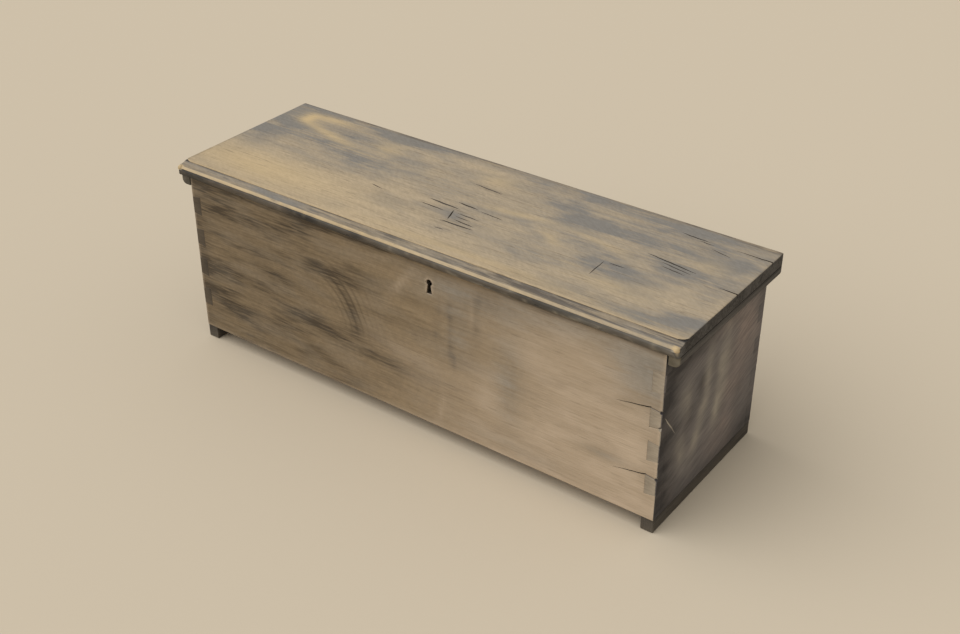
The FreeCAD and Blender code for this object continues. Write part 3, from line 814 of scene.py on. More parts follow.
def quarter_turn(steps: int) -> list[tuple[float, float]]:
    """The cosines and sines of angles from 0 to 90 degrees."""
    angles = [math.pi / 2 * step / steps for step in range(steps + 1)]
    return [(math.cos(angle), math.sin(angle)) for angle in angles]


def grown(box: tuple[Vector, Vector], by: float) -> tuple[Vector, Vector]:
    """A box's corners moved outwards."""
    return box[0] - Vector((by, by, by)), box[1] + Vector((by, by, by))


def solid_between(first: list[Vector], second: list[Vector]) -> Solid:
    """Makes a closed solid between two outlines.

    Args:
        first: the outline at one end.
        second: the outline at the other, with as many points.

    Returns:
        The solid.
    """
    shape = bmesh.new()
    start = [shape.verts.new(point) for point in first]
    end = [shape.verts.new(point) for point in second]
    shape.faces.new(start)
    shape.faces.new(end)
    for index in range(len(start)):
        after = (index + 1) % len(start)
        shape.faces.new((start[index], start[after], end[after], end[index]))
    bmesh.ops.recalc_face_normals(shape, faces=shape.faces)
    return shape


def prism(outline: list[tuple[float, float]], axis: Axis, start: float, end: float) -> Solid:
    """Makes a closed solid that keeps its outline along an axis.

    Args:
        outline: points by the two other axes, in the order of their letters.
        axis: the axis that it runs along.
        start: where it starts.
        end: where it ends.

    Returns:
        The solid.
    """
    rings = []
    for along in (start, end):
        points = [list(point) for point in outline]
        for point in points:
            point.insert(axis.value, along)
        rings.append([Vector(point) for point in points])
    return solid_between(*rings)


def block_between(low: Vector, high: Vector) -> Solid:
    """A block between its lowest and highest corners."""
    corners = [(low.x, low.y), (high.x, low.y), (high.x, high.y), (low.x, high.y)]
    return prism(corners, Axis.Z, low.z, high.z)


def chip(centre: Vector, reach: Vector) -> Solid:
    """Makes an uneven pebble that knocks a flake out of an arris.

    Args:
        centre: its middle.
        reach: half its size along each axis.

    Returns:
        The pebble as a closed solid.
    """
    shape = bmesh.new()
    bmesh.ops.create_icosphere(shape, subdivisions=2, radius=1.0)
    for vert in shape.verts:
        rough = 1 + CHIP_ROUGHNESS * noise.noise(vert.co * CHIP_LUMPS + centre * CHIP_SEED)
        vert.co = centre + Vector(a * b for a, b in zip(vert.co * rough, reach))
    return shape


def cuts(
    low: float, high: float, pitch: float, clear: Iterable[float] = (), room: float = 0.0,
) -> list[float]:
    """Gives the places at which a board's faces are divided.

    Args:
        low: the start of the span.
        high: its end.
        pitch: the distance between two places.
        clear: places that no cut comes near.
        room: how near is too near.

    Returns:
        Even places, with one close to each end.
    """
    length = high - low - 2 * FIRST_CUT
    count = max(1, round(length / pitch))
    places = [low + FIRST_CUT + length / count * index for index in range(count + 1)]
    return [place for place in places if all(abs(place - kept) > room for kept in clear)]


def divide(shape: Solid, axis: Axis, places: Iterable[float]) -> None:
    """Divides a solid's faces by planes across an axis.

    Args:
        shape: the solid.
        axis: the axis.
        places: where the planes lie along it.
    """
    normal = Vector((0, 0, 0))
    normal[axis.value] = 1
    for place in places:
        parts = shape.verts[:] + shape.edges[:] + shape.faces[:]
        bmesh.ops.bisect_plane(shape, geom=parts, dist=CUT_REACH, plane_co=normal * place, plane_no=normal)


def settle(piece: Piece) -> None:
    """Puts the result of a piece's modifiers into its mesh.

    Args:
        piece: the piece.
    """
    graph = bpy.context.evaluated_depsgraph_get()
    mesh = bpy.data.meshes.new_from_object(piece.evaluated_get(graph))
    piece.modifiers.clear()
    piece.data = mesh


def link_mesh(shape: Solid, name: str) -> Piece:
    """Turns a solid into an object of the scene.

    Args:
        shape: the solid, freed here.
        name: the object's name.

    Returns:
        The object.
    """
    mesh = bpy.data.meshes.new(name)
    shape.to_mesh(mesh)
    shape.free()
    piece = bpy.data.objects.new(name, mesh)
    bpy.context.scene.collection.objects.link(piece)
    return piece


def wear(shape: Solid, name: str, radius: EdgeRule) -> Piece:
    """Makes a piece of a solid with its arrises rounded as far as use wore them.

    Args:
        shape: the sharp solid, freed here.
        name: the piece's name.
        radius: gives the round's radius from an edge's middle and direction.

    Returns:
        The piece.
    """
    weights = shape.edges.layers.float.new("bevel_weight_edge")
    for edge in shape.edges:
        if len(edge.link_faces) == 2 and edge.calc_face_angle() > ARRIS_ANGLE:
            first, second = (vert.co for vert in edge.verts)
            worn = radius((first + second) / 2, (second - first).normalized())
            edge[weights] = min(1.0, max(0.0, worn / WIDEST_WEAR))
    piece = link_mesh(shape, name)
    rounded = piece.modifiers.new("worn_arris", "BEVEL")
    rounded.limit_method = "WEIGHT"
    rounded.width = WIDEST_WEAR
    rounded.segments = WEAR_SEGMENTS
    rounded.use_clamp_overlap = False
    settle(piece)
    return piece


def worn_at(level: float, there: float, elsewhere: float, uneven: Mottle) -> EdgeRule:
    """Gives how far arrises are worn at one level and elsewhere.

    Args:
        level: the level.
        there: the round's radius at that level.
        elsewhere: its radius at the others.
        uneven: how the wear differs from place to place.

    Returns:
        A rule that gives a radius from an edge's middle and direction.
    """

    def radius(middle: Vector, along: Vector) -> float:
        """The round's radius on an edge."""
        return (there if near(middle.z, level) else elsewhere) * (1 + uneven.at(middle))

    return radius


def carve(
    piece: Piece, cutters: list[Solid], lining: PineFinish, crossing: bool = False,
    joinery: Joinery = Joinery.CUT,
) -> None:
    """Cuts solids out of a piece, or adds them to it.

    Args:
        piece: the piece.
        cutters: closed solids, freed here.
        lining: the finish of the new faces.
        crossing: whether the cutters run into each other.
        joinery: whether the solids are cut out or added.
    """
    joined = bmesh.new()
    for cutter in cutters:
        loose = bpy.data.meshes.new("cutter")
        cutter.to_mesh(loose)
        cutter.free()
        joined.from_mesh(loose)
        bpy.data.meshes.remove(loose)
    tool = link_mesh(joined, "cutter")
    tool.data.materials.append(lining.build())
    cutting = piece.modifiers.new("carved", "BOOLEAN")
    cutting.operation = joinery.value
    cutting.solver = "EXACT"
    cutting.use_self = crossing
    cutting.material_mode = "TRANSFER"
    cutting.object = tool
    settle(piece)
    bpy.data.objects.remove(tool)


def clothe(piece: Piece, finishes: list[PineFinish], choose: FaceRule) -> None:
    """Gives a piece its finishes.

    Args:
        piece: the piece.
        finishes: the finishes, in the order of their indexes.
        choose: gives a face's index from its middle and its normal.
    """
    for finish in finishes:
        piece.data.materials.append(finish.build())
    for face in piece.data.polygons:
        face.material_index = choose(face.center, face.normal)


def paint(piece: Piece, rules: dict[Layer, Rule]) -> None:
    """Writes a board's weathering, with its painted shade and highlights, into its mesh, and shades it
    smoothly.

    Args:
        piece: the board.
        rules: by layer, how far it covers a place. A layer without a rule covers nothing.
    """
    mesh = piece.data
    for layer in Layer:
        rule = rules.get(layer, lambda place: 0.0)
        values = [min(1.0, max(0.0, rule(vert.co))) for vert in mesh.vertices]
        attribute = mesh.attributes.new(layer.value, "FLOAT", "POINT")
        attribute.data.foreach_set("value", values)
    mesh.polygons.foreach_set("use_smooth", [True] * len(mesh.polygons))
    mesh.set_sharp_from_angle(angle=SHARP_ANGLE)
    piece.modifiers.new("even_light", "WEIGHTED_NORMAL").keep_sharp = True


@dataclass
class Assembly:
    """Pieces that are made and fitted together."""

    pieces: list[Piece] = field(default_factory=list, init=False)

    def fit(self, piece: Piece, node: str, body: str, slot: str) -> None:
        """Puts a finished piece in the place of a CAD node.

        Args:
            piece: the piece.
            node: the node that it stands for.
            body: the body that carries it.
            slot: not used.
        """
        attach(piece, body)
        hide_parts(node)
        self.pieces.append(piece)

    def dress(self, node: str, material: Material, ease: float) -> None:
        """Gives a CAD node its finish and eases its sharp edges.

        Args:
            node: the node.
            material: its material.
            ease: the radius of the eased edges, or 0.
        """
        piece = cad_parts[node]
        if not piece.material_slots:
            piece.data.materials.append(material)
        for material_slot in piece.material_slots:
            material_slot.material = material
        if ease:
            welded = piece.modifiers.new("joined_corners", "WELD")
            welded.merge_threshold = WELD_REACH
            eased = piece.modifiers.new("eased_edges", "BEVEL")
            eased.width = ease
            eased.segments = EASE_SEGMENTS
            eased.angle_limit = EASE_ANGLE
            eased.use_clamp_overlap = True
        self.pieces.append(piece)


@dataclass
class Case(Assembly):
    """The dovetailed case: front, back, ends, bottom and runners."""

    # The lowest and highest corners of the four boards, and the middle of the keyhole's round part
    low: Vector = field(init=False)
    high: Vector = field(init=False)
    key: Vector = field(init=False)
    board: float = 25 * MM
    # Each pin's top and bottom as shares of the boards' height, from the top down
    pin_spans: tuple[tuple[float, float], ...] = (
        (0.125, 0.235), (0.335, 0.440), (0.530, 0.640), (0.735, 0.845),
    )
    pin_flare: float = 25 * MM / 14
    arris: float = 1.6 * MM
    joint_arris: float = 0.5 * MM
    # The case's upright corners are worn more than its other arrises
    corner_wear: float = 1.2
    uneven: Mottle = Mottle(0.6, (28, 28, 28))
    pitch: float = 9 * MM
    # How far the boards' divisions keep off the joints
    joint_room: float = 2 * MM
    hinge_leaf: float = 2.5 * MM
    lock_plate: float = 2 * MM
    lock_play: float = 0.4 * MM
    key_radius: float = 6.8 * MM
    key_waist: float = 3.75 * MM
    key_foot: float = 6 * MM
    key_drop: float = 25 * MM
    key_below_top: float = 42 * MM
    key_flare: float = 1.6 * MM
    key_segments: int = 20
    # How far the keyhole runs on into the lock's room
    key_past: float = 0.2 * MM
    bottom_play: float = 0.5 * MM
    bottom_pitch: tuple[float, float] = (30 * MM, 24 * MM)
    bottom_arris: float = 0.8 * MM
    bottom_nails: int = 7
    runner_pitch: float = 20 * MM
    runner_arris: float = 1.2 * MM
    runner_foot_arris: float = 2.6 * MM
    runner_uneven: Mottle = Mottle(0.6, (35, 35, 35))
    runner_nails: int = 4
    nail_head: tuple[float, float, float] = (8 * MM, 6 * MM, 2 * MM)
    nail_play: float = 0.2 * MM
    # How deep end grain counts as seen, on the tails and on the pins, and how square a pin's end lies
    tail_skin: float = 0.3 * MM
    pin_skin: float = 2 * MM
    pin_facing: float = 0.8
    tail_dark: float = 0.9
    pin_dark: float = 0.5
    # Rubbing: along the front's ends and foot, and round the keyhole
    front_ends: Rim = Rim(0.45, 4 * MM)
    front_foot: Rim = Rim(0.27, 5 * MM)
    key_rub: float = 1.5 * MM
    key_bare: float = 0.5
    # The strip under the lid that is neither greyed nor rubbed, and is dark with a painted shadow of the
    # lid
    ungreyed: Rim = Rim(1.0, 12 * MM)
    unrubbed: Rim = Rim(1.0, 11 * MM)
    under_lid_shadow: Rim = Rim(0.65, 12 * MM)
    # Old brown handling at the front's left, up to where it ends by X
    brown_most: float = 0.42
    brown_to: float = -0.20
    brown_reach: float = 0.07
    brown_edge: Rim = Rim(0.3, 40 * MM)
    dark_share: float = 0.8
    # Dirt and damp: on the back, on the ends, on the bottom and on the runners
    back_foot: Rim = Rim(0.4, 50 * MM)
    back_ends: Rim = Rim(0.4, 2 * MM)
    end_front: Rim = Rim(1.0, 62 * MM)
    end_back: Rim = Rim(0.3, 25 * MM)
    end_foot: Rim = Rim(0.5, 45 * MM)
    end_top: Rim = Rim(1.0, 60 * MM)
    bottom_ends: Rim = Rim(0.3, 60 * MM)
    runner_top: Rim = Rim(0.5, 8 * MM)
    runner_foot: Rim = Rim(0.25, 4 * MM)
    # Behind its front end a runner is dark all over
    runner_end: float = 3 * MM
    runner_dark: float = 0.8
    # A split in the back, by X and Z
    back_split: Scar = Scar((-0.25, 0.15), (-0.603, 0.128), 2.2 * MM, 8 * MM, Taper.OPEN_END)
    # Splits that run in from the front's right edge, by X and Z
    front_splits: tuple[Scar, ...] = (
        Scar((0.500, 0.2765), (0.577, 0.2895), 2.8 * MM, 9 * MM, Taper.OPEN_END),
        Scar((0.500, 0.1215), (0.577, 0.1355), 2.8 * MM, 9 * MM, Taper.OPEN_END),
    )
    # Levels of the joints at the front's right edge that have opened and worn round
    knocked: tuple[float, ...] = (0.2858, 0.2488, 0.132)
    knocked_arris: float = 2.0 * MM
    knock_reach: tuple[float, float, float] = (5 * MM, 4.5 * MM, 5 * MM)
    # How an opened joint wears the corner, and how near to one the arrises are round
    knock_wear: Rim = Rim(1.4, 9 * MM)
    knock_span: float = 3 * MM
    # Where the front changes from brown to rubbed tan, by X, and how far that moves left lower down
    rubbed_from: float = 0.25
    rubbed_reach: float = 0.08
    rubbed_below: float = 0.25
    rubbed_lean: float = 0.6
    # How far rubbing covers the front, and how far greyed places keep it off
    rubbed_most: float = 0.95
    rubbed_off: float = 0.9
    # The dark loop of the growth figure, and where it fades out, by X and Z
    loop: float = 0.116
    loop_fade: tuple[float, float] = (-0.215, 0.200)
    loop_soft: tuple[float, float] = (0.03, 0.015)
    loop_dark: Rim = Rim(0.55, 13 * MM)
    loop_lines: tuple[Rim, ...] = (Rim(0.55, 28 * MM), Rim(0.2, 70 * MM))
    # Places on the front, by X and Z
    front_dark: tuple[Blot, ...] = (
        Blot((-0.47, 0.37), (0.10, 0.010), 0.15, 0.1), Blot((-0.32, 0.378), (0.09, 0.010), 0.6),
        Blot((-0.39, 0.283), (0.10, 0.007), 0.6), Blot((-0.33, 0.302), (0.03, 0.007), 0.5),
        Blot((-0.47, 0.211), (0.024, 0.007), 0.5, 0.1), Blot((-0.50, 0.155), (0.05, 0.008), 0.7, 0.2),
        Blot((-0.255, 0.165), (0.075, 0.007), 0.6), Blot((-0.50, 0.10), (0.08, 0.02), 0.3),
        Blot((-0.065, 0.141), (0.10, 0.012), 1.7, -0.03), Blot((-0.19, 0.135), (0.03, 0.010), 0.4),
        Blot((-0.10, 0.250), (0.06, 0.007), 0.4, 0.1), Blot((-0.10, 0.335), (0.06, 0.009), 0.4, 0.1),
        Blot((0.118, 0.275), (0.007, 0.065), 0.75, 0.03), Blot((0.125, 0.215), (0.006, 0.025), 0.5, 0.2),
        Blot((0.085, 0.285), (0.006, 0.045), 0.5, -0.05), Blot((0.183, 0.330), (0.007, 0.070), 0.45),
        Blot((0.17, 0.385), (0.12, 0.022), 0.35), Blot((-0.150, 0.300), (0.060, 0.045), 0.2),
        Blot((0.34, 0.052), (0.07, 0.009), 0.35), Blot((0.48, 0.137), (0.05, 0.008), 0.4),
        Blot((0.52, 0.285), (0.05, 0.008), 0.3, 0.18),
    )
    front_grey_and_shadow: tuple[Blot, ...] = (
        Blot((0.575, 0.350), (0.095, 0.075), 0.9), Blot((0.20, 0.365), (0.12, 0.030), 0.35),
        # The wide blot along the top at Z 0.41 is a painted shadow of the lid
        Blot((0.36, 0.41), (0.24, 0.045), 0.65), Blot((0.60, 0.20), (0.03, 0.12), 0.3),
        Blot((0.262, 0.205), (0.034, 0.095), 0.65), Blot((0.14, 0.29), (0.035, 0.08), 0.35),
        Blot((0.48, 0.140), (0.06, 0.012), 0.6), Blot((0.30, 0.06), (0.14, 0.02), 0.3),
    )
    front_pale: tuple[Blot, ...] = (
        Blot((-0.005, 0.352), (0.006, 0.050), 0.4, -0.69),
        Blot((0.0925, 0.080), (0.006, 0.035), 0.3, -0.21), Blot((0.172, 0.350), (0.006, 0.055), 0.18, -0.1),
        Blot((0.20, 0.16), (0.06, 0.05), 0.2), Blot((0.03, 0.165), (0.09, 0.05), 0.1),
        Blot((0.01, 0.183), (0.11, 0.018), 0.2),
    )
    # Places on an end, by Y and Z
    end_bare: tuple[Blot, ...] = (
        Blot((-0.022, 0.280), (0.017, 0.060), 0.42), Blot((-0.045, 0.165), (0.018, 0.062), 0.42, -0.28),
        Blot((0.043, 0.262), (0.024, 0.078), 0.48, -0.05), Blot((0.026, 0.165), (0.016, 0.045), 0.42),
        Blot((-0.110, 0.262), (0.022, 0.036), 0.32, 0.3), Blot((-0.112, 0.138), (0.018, 0.042), 0.36, 0.35),
    )
    end_brown: tuple[Blot, ...] = (
        Blot((0.13, 0.29), (0.055, 0.10), 0.8), Blot((0.05, 0.36), (0.10, 0.03), 0.3),
        Blot((0.03, 0.09), (0.05, 0.04), 0.4), Blot((0.08, 0.16), (0.04, 0.13), 0.45),
    )
    # The left end is out of sight in the picture: rubbed less, and the other way round
    left_rubbing: float = 0.5
    end_scratch: Scar = Scar((-0.190, 0.270), (-0.140, 0.203), 4.0 * MM, 0.6 * MM)
    scratch_bare: float = 0.75
    end_dark: tuple[Blot, ...] = (
        Blot((0.15, 0.11), (0.06, 0.07), 0.25), Blot((-0.085, 0.21), (0.03, 0.04), 0.35),
        Blot((-0.045, 0.262), (0.016, 0.035), 0.45), Blot((-0.06, 0.375), (0.10, 0.035), 0.3),
        Blot((0.085, 0.252), (0.012, 0.014), 0.3),
    )

    def build(self) -> None:
        """Makes the case's boards."""
        self.low, self.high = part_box("front_board")[0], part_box("back_board")[1]
        plate_low, plate_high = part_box("lock_plate")
        self.key = Vector(((plate_low.x + plate_high.x) / 2, self.low.y, self.high.z - self.key_below_top))
        self.build_front()
        self.build_back()
        self.build_end("left", BROWN_PIN_PINE)
        self.build_end("right", RUBBED_PIN_PINE)
        self.build_bottom()
        self.build_runners()

    def spans(self) -> list[tuple[float, float]]:
        """The pins' lower and upper levels, from the lowest pin up."""
        height = self.high.z - self.low.z
        levels = [(height * bottom, height * top) for top, bottom in reversed(self.pin_spans)]
        return [(self.high.z - bottom, self.high.z - top) for bottom, top in levels]

    def level_cuts(self) -> list[float]:
        """Levels at which the boards are divided, clear of the pins' corners."""
        corners = [level for span in self.spans() for level in span]
        return cuts(self.low.z, self.high.z, self.pitch, corners, self.pin_flare + self.joint_room)

    def exposed(self, middle: Vector, along: Vector) -> float:
        """Gives how far an arris of a case board is worn.

        Args:
            middle: the edge's middle.
            along: its direction.

        Returns:
            The round's radius.
        """
        low, high = self.low, self.high
        rough = 1 + self.uneven.at(middle)
        at_front = near(middle.y, low.y)
        at_face = at_front or near(middle.y, high.y)
        if at_face and near(abs(middle.x), high.x) and abs(along.z) > MOSTLY:
            levels = self.knocked if at_front and middle.x > 0 else ()
            knocks = sum(self.knock_wear.at(middle.z - level) for level in levels)
            return self.arris * (self.corner_wear * rough + knocks)
        if near(middle.z, low.z) or near(middle.z, high.z):
            return self.arris * rough
        opened = at_front and middle.x > high.x - self.board - LEEWAY and abs(along.z) < LEANING
        if opened and any(abs(middle.z - level) < self.knock_span for level in self.knocked):
            return self.knocked_arris
        return self.joint_arris

    def tail_board(self, node: str, inward: int, face: PineFinish) -> Piece:
        """Makes the front or the back with its tails.

        Args:
            node: the CAD node that it stands for.
            inward: 1 if its inner face looks along +Y, or -1.
            face: the finish of its outer face.

        Returns:
            The board with worn arrises and its finishes.
        """
        low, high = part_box(node)
        root = high.x - self.board
        right = [(high.x, low.z)]
        for bottom, top in self.spans():
            right += [
                (high.x, bottom + self.pin_flare), (root, bottom - self.pin_flare),
                (root, top + self.pin_flare), (high.x, top - self.pin_flare),
            ]
        right.append((high.x, high.z))
        shape = prism(right + [(-x, z) for x, z in reversed(right)], Axis.Y, low.y, high.y)
        divide(shape, Axis.X, cuts(low.x, high.x, self.pitch, (root, -root), self.joint_room))
        divide(shape, Axis.Z, self.level_cuts())
        piece = wear(shape, node + "_worn", self.exposed)

        def choose(middle: Vector, normal: Vector) -> int:
            """The index of a face's finish."""
            on_tail = abs(normal.x) > LEANING and abs(middle.x) > high.x - self.board / 2
            return 2 if on_tail else int(normal.y * inward > LEANING or normal.z > SQUARE)

        clothe(piece, [face, INSIDE_PINE, END_PINE], choose)
        return piece

    def bottom_room(self) -> Solid:
        """Makes the rabbet's room for the bottom boards.

        Returns:
            A closed block.
        """
        boards = (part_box("front_bottom_board")[0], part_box("back_bottom_board")[1])
        low, high = grown(boards, self.bottom_play)
        high.z -= self.bottom_play
        return block_between(low, high)

    def lock_room(self) -> list[Solid]:
        """Makes the recesses for the lock.

        Returns:
            Closed blocks for its plate, the plate's bent top and its case.
        """
        low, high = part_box("lock_plate")
        case_low, case_high = grown(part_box("lock_case"), self.lock_play)
        out = Vector((high.x, high.y + PROUD, high.z + PROUD))
        plate = block_between(Vector((low.x, high.y - self.lock_plate, low.z)), out)
        top = block_between(Vector((low.x, low.y, high.z - self.lock_plate)), out)
        room = block_between(case_low, Vector((case_high.x, high.y, high.z)))
        return [plate, top, room]

    def keyhole(self, start: float, end: float, flare: float) -> Solid:
        """Makes a length of the keyhole, wider at its outer end if it is flared.

        Args:
            start: how deep it starts behind the face.
            end: how deep it ends.
            flare: how far the outer end stands out round the hole.

        Returns:
            A closed solid of the hole's shape.
        """
        turn = math.acos(self.key_waist / self.key_radius)
        angles = evenly(-turn, math.pi + turn, self.key_segments + 1)
        outlines = []
        for depth, rim in ((start, flare * (end - start) / end), (end, 0.0)):
            radius = self.key_radius + rim
            head = [(math.cos(angle) * radius, math.sin(angle) * radius) for angle in angles]
            foot = [(side * (self.key_foot + rim), -self.key_drop - rim) for side in (-1, 1)]
            outlines.append([self.key + Vector((x, depth, z)) for x, z in head + foot])
        return solid_between(*outlines)

    def knocks(self) -> list[Solid]:
        """Makes the flakes knocked out of the front's right corner where its joints opened.

        Returns:
            Closed pebbles.
        """
        corners = [Vector((self.high.x, self.low.y, level)) for level in self.knocked]
        return [chip(corner, Vector(self.knock_reach)) for corner in corners]

    def arch(self, place: Vector, rim: Rim) -> float:
        """Gives how near a place on the front is to the dark loop of the growth figure.

        Args:
            place: the place.
            rim: the strip along the loop that counts.

        Returns:
            The strip's strength there, less where the loop fades out.
        """
        out = FRONT_PINE.figure.distance(place.x, place.z)
        start = ramp(place.x, self.loop_fade[0], self.loop_soft[0])
        end = ramp(place.z, self.loop_fade[1], self.loop_soft[1])
        return rim.at(out - self.loop) * start * end

    def build_front(self) -> None:
        """Makes the front with its splits, keyhole, lock recesses and old brown finish."""
        node = "front_board"
        face = self.low.y
        piece = self.tail_board(node, 1, FRONT_PINE)
        splits = [scar.cutter(lambda x, z, rise: Vector((x, face - rise, z))) for scar in self.front_splits]
        carve(piece, [self.bottom_room(), *self.lock_room()], INSIDE_PINE, crossing=True)
        carve(piece, [self.keyhole(-PROUD, self.key_flare, self.key_flare)], FRONT_PINE)
        carve(piece, self.knocks(), END_PINE)
        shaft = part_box("lock_case")[0].y + self.key_past - face
        carve(piece, [self.keyhole(-PROUD, shaft, 0.0), *splits], DIRT_AND_SHADE_PINE)
        paint(piece, {
            Layer.BARE: self.bare_on_front, Layer.DARK: self.dark_on_front,
            Layer.FIGURE: self.figure_on_front, Layer.TONED: self.grey_and_shadow_on_front,
        })
        self.fit(piece, node, "case", "front_board_wood")

    def on_tail(self, place: Vector) -> bool:
        """Whether a place on the front is on the tails' end grain."""
        return abs(place.x) > self.high.x - self.tail_skin

    def grey_and_shadow_on_front(self, place: Vector) -> float:
        """How far a place on the front is greyed, along the top partly as a painted shadow of the lid."""
        clear = 0.0 if self.on_tail(place) else 1 - self.ungreyed.at(self.high.z - place.z)
        return clear * spread(self.front_grey_and_shadow, place.x, place.z)

    def rubbed_on_front(self, place: Vector) -> float:
        """Gives how far use rubbed a place on the front to tan.

        Args:
            place: the place.

        Returns:
            The strength there.
        """
        start = self.rubbed_from - self.rubbed_lean * max(0.0, self.rubbed_below - place.z)
        share = self.rubbed_most * ramp(place.x, start, self.rubbed_reach)
        share *= 1 - self.rubbed_off * min(1.0, self.grey_and_shadow_on_front(place))
        return share * (1 - self.unrubbed.at(self.high.z - place.z))

    def bare_on_front(self, place: Vector) -> float:
        """Gives how bare a place on the front is.

        Args:
            place: the place.

        Returns:
            The strength there.
        """
        if self.on_tail(place):
            return 0.0
        aside = abs(place.x - self.key.x) - self.key_radius
        above = place.z - self.key.z - self.key_radius
        below = self.key.z - self.key_drop - place.z
        if max(aside, above, below) < self.key_rub:
            return self.key_bare
        edge = self.front_ends.at(self.high.x - abs(place.x)) + self.front_foot.at(place.z - self.low.z)
        on_face = place.y < self.low.y + LEEWAY
        patches = spread(self.front_pale, place.x, place.z)
        return (edge if on_face else 0.0) + self.rubbed_on_front(place) + patches

    def dark_on_front(self, place: Vector) -> float:
        """Gives how dark a place on the front is.

        Args:
            place: the place.

        Returns:
            The strength there.
        """
        if self.on_tail(place):
            return self.tail_dark
        brown = self.brown_most * (1 - ramp(place.x, self.brown_to, self.brown_reach))
        # The strip along the top is a painted shadow of the lid
        rims = self.brown_edge.at(place.x - self.low.x) + self.under_lid_shadow.at(self.high.z - place.z)
        patches = self.dark_share * spread(self.front_dark, place.x, place.z)
        return brown + rims + patches + self.arch(place, self.loop_dark)

    def figure_on_front(self, place: Vector) -> float:
        """How far the growth figure shows at a place on the front."""
        return sum(self.arch(place, rim) for rim in self.loop_lines)

    def build_back(self) -> None:
        """Makes the back with the hinges' mortises and a split."""
        node = "back_board"
        low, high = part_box(node)
        piece = self.tail_board(node, -1, BACK_PINE)
        mortises = []
        for side in SIDES:
            leaf_low, leaf_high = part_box(side + "_hinge_case_leaf")
            mortises.append(block_between(
                Vector((leaf_low.x, leaf_low.y, high.z - self.hinge_leaf)),
                Vector((leaf_high.x, high.y + PROUD, high.z + PROUD)),
            ))
        mortises.append(self.back_split.cutter(lambda x, z, rise: Vector((x, high.y + rise, z))))
        carve(piece, [self.bottom_room()], INSIDE_PINE)
        carve(piece, mortises, DIRT_AND_SHADE_PINE)
        paint(piece, {
            Layer.DARK: lambda place: (
                self.back_foot.at(place.z - low.z) + self.back_ends.at(high.x - abs(place.x))
            ),
        })
        self.fit(piece, node, "case", "back_board_wood")

    def build_end(self, side: str, pins: PineFinish) -> None:
        """Makes an end with its pins.

        Args:
            side: left or right.
            pins: the finish of the front pins' end grain.
        """
        node = side + "_end_board"
        low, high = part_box(node)
        outer, inner, outward = (high.x, low.x, 1) if side == "right" else (low.x, high.x, -1)
        front_root = low.y + self.board
        back_root = high.y - self.board
        outlines = []
        for x, flare in ((outer, self.pin_flare), (inner, -self.pin_flare)):
            front = [(front_root, low.z)]
            for bottom, top in self.spans():
                front += [
                    (front_root, bottom + flare), (low.y, bottom + flare),
                    (low.y, top - flare), (front_root, top - flare),
                ]
            front.append((front_root, high.z))
            back = [(front_root + back_root - y, z) for y, z in reversed(front)]
            outlines.append([Vector((x, y, z)) for y, z in front + back])
        shape = solid_between(*outlines)
        divide(shape, Axis.Y, cuts(low.y, high.y, self.pitch, (front_root, back_root), self.joint_room))
        divide(shape, Axis.Z, self.level_cuts())
        piece = wear(shape, node + "_worn", self.exposed)

        def choose(middle: Vector, normal: Vector) -> int:
            """The index of a face's finish."""
            if abs(normal.y) > self.pin_facing and not front_root < middle.y < back_root:
                return 2 if middle.y < front_root else 3
            return int(normal.x * outward < -LEANING or normal.z > SQUARE)

        clothe(piece, [END_PINE, INSIDE_PINE, pins, BROWN_PIN_PINE], choose)
        carve(piece, [self.bottom_room()], INSIDE_PINE)
        if side == "right":
            scratch = self.end_scratch.cutter(lambda y, z, rise: Vector((outer + rise, y, z)))
            carve(piece, self.knocks(), END_PINE)
            carve(piece, [scratch], END_PINE)
        paint(piece, {
            Layer.DARK: self.dark_on_end, Layer.BARE: self.bare_on_end, Layer.TONED: self.brown_on_end,
        })
        self.fit(piece, node, "case", "end_board_wood")

    def on_pin(self, place: Vector) -> bool:
        """Whether a place on an end is on a pin's end grain."""
        return place.y < self.low.y + self.pin_skin or place.y > self.high.y - self.pin_skin

    def dark_on_end(self, place: Vector) -> float:
        """Gives how dark a place on an end is.

        Args:
            place: the place.

        Returns:
            The strength there.
        """
        if self.on_pin(place):
            return self.pin_dark * (self.high.x - abs(place.x)) / self.board
        strips = self.end_front.at(place.y - self.low.y) + self.end_back.at(self.high.y - place.y)
        rims = self.end_foot.at(place.z - self.low.z) + self.end_top.at(self.high.z - place.z)
        return strips + rims + spread(self.end_dark, place.y, place.z)

    def bare_on_end(self, place: Vector) -> float:
        """Gives how bare a place on an end is.

        Args:
            place: the place.

        Returns:
            The strength there.
        """
        if self.on_pin(place):
            return 0.0
        if place.x < 0:
            return self.left_rubbing * spread(self.end_bare, -place.y, place.z)
        sunk = self.high.x - place.x > self.end_scratch.depth / 4
        if sunk and self.end_scratch.distance(place.y, place.z) < self.end_scratch.width:
            return self.scratch_bare
        return spread(self.end_bare, place.y, place.z)

    def brown_on_end(self, place: Vector) -> float:
        """How brown a place on an end is."""
        return 0.0 if self.on_pin(place) else spread(self.end_brown, place.y, place.z)

    def nail_room(self, x: float, y: float, level: float) -> Solid:
        """Makes the sunk place of a nail's head in a lower face.

        Args:
            x: the head's middle along X.
            y: its middle along Y.
            level: the face's level.

        Returns:
            A closed block.
        """
        length, width, depth = self.nail_head
        along = length / 2 + self.nail_play
        across = width / 2 + self.nail_play
        return block_between(
            Vector((x - along, y - across, level - PROUD)), Vector((x + along, y + across, level + depth)),
        )

    def nail_middles(self, node: str) -> tuple[Vector, Vector]:
        """The lowest and highest of the middles of a node's nail heads."""
        low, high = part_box(node)
        half = Vector(self.nail_head) / 2
        return low + half, high - half

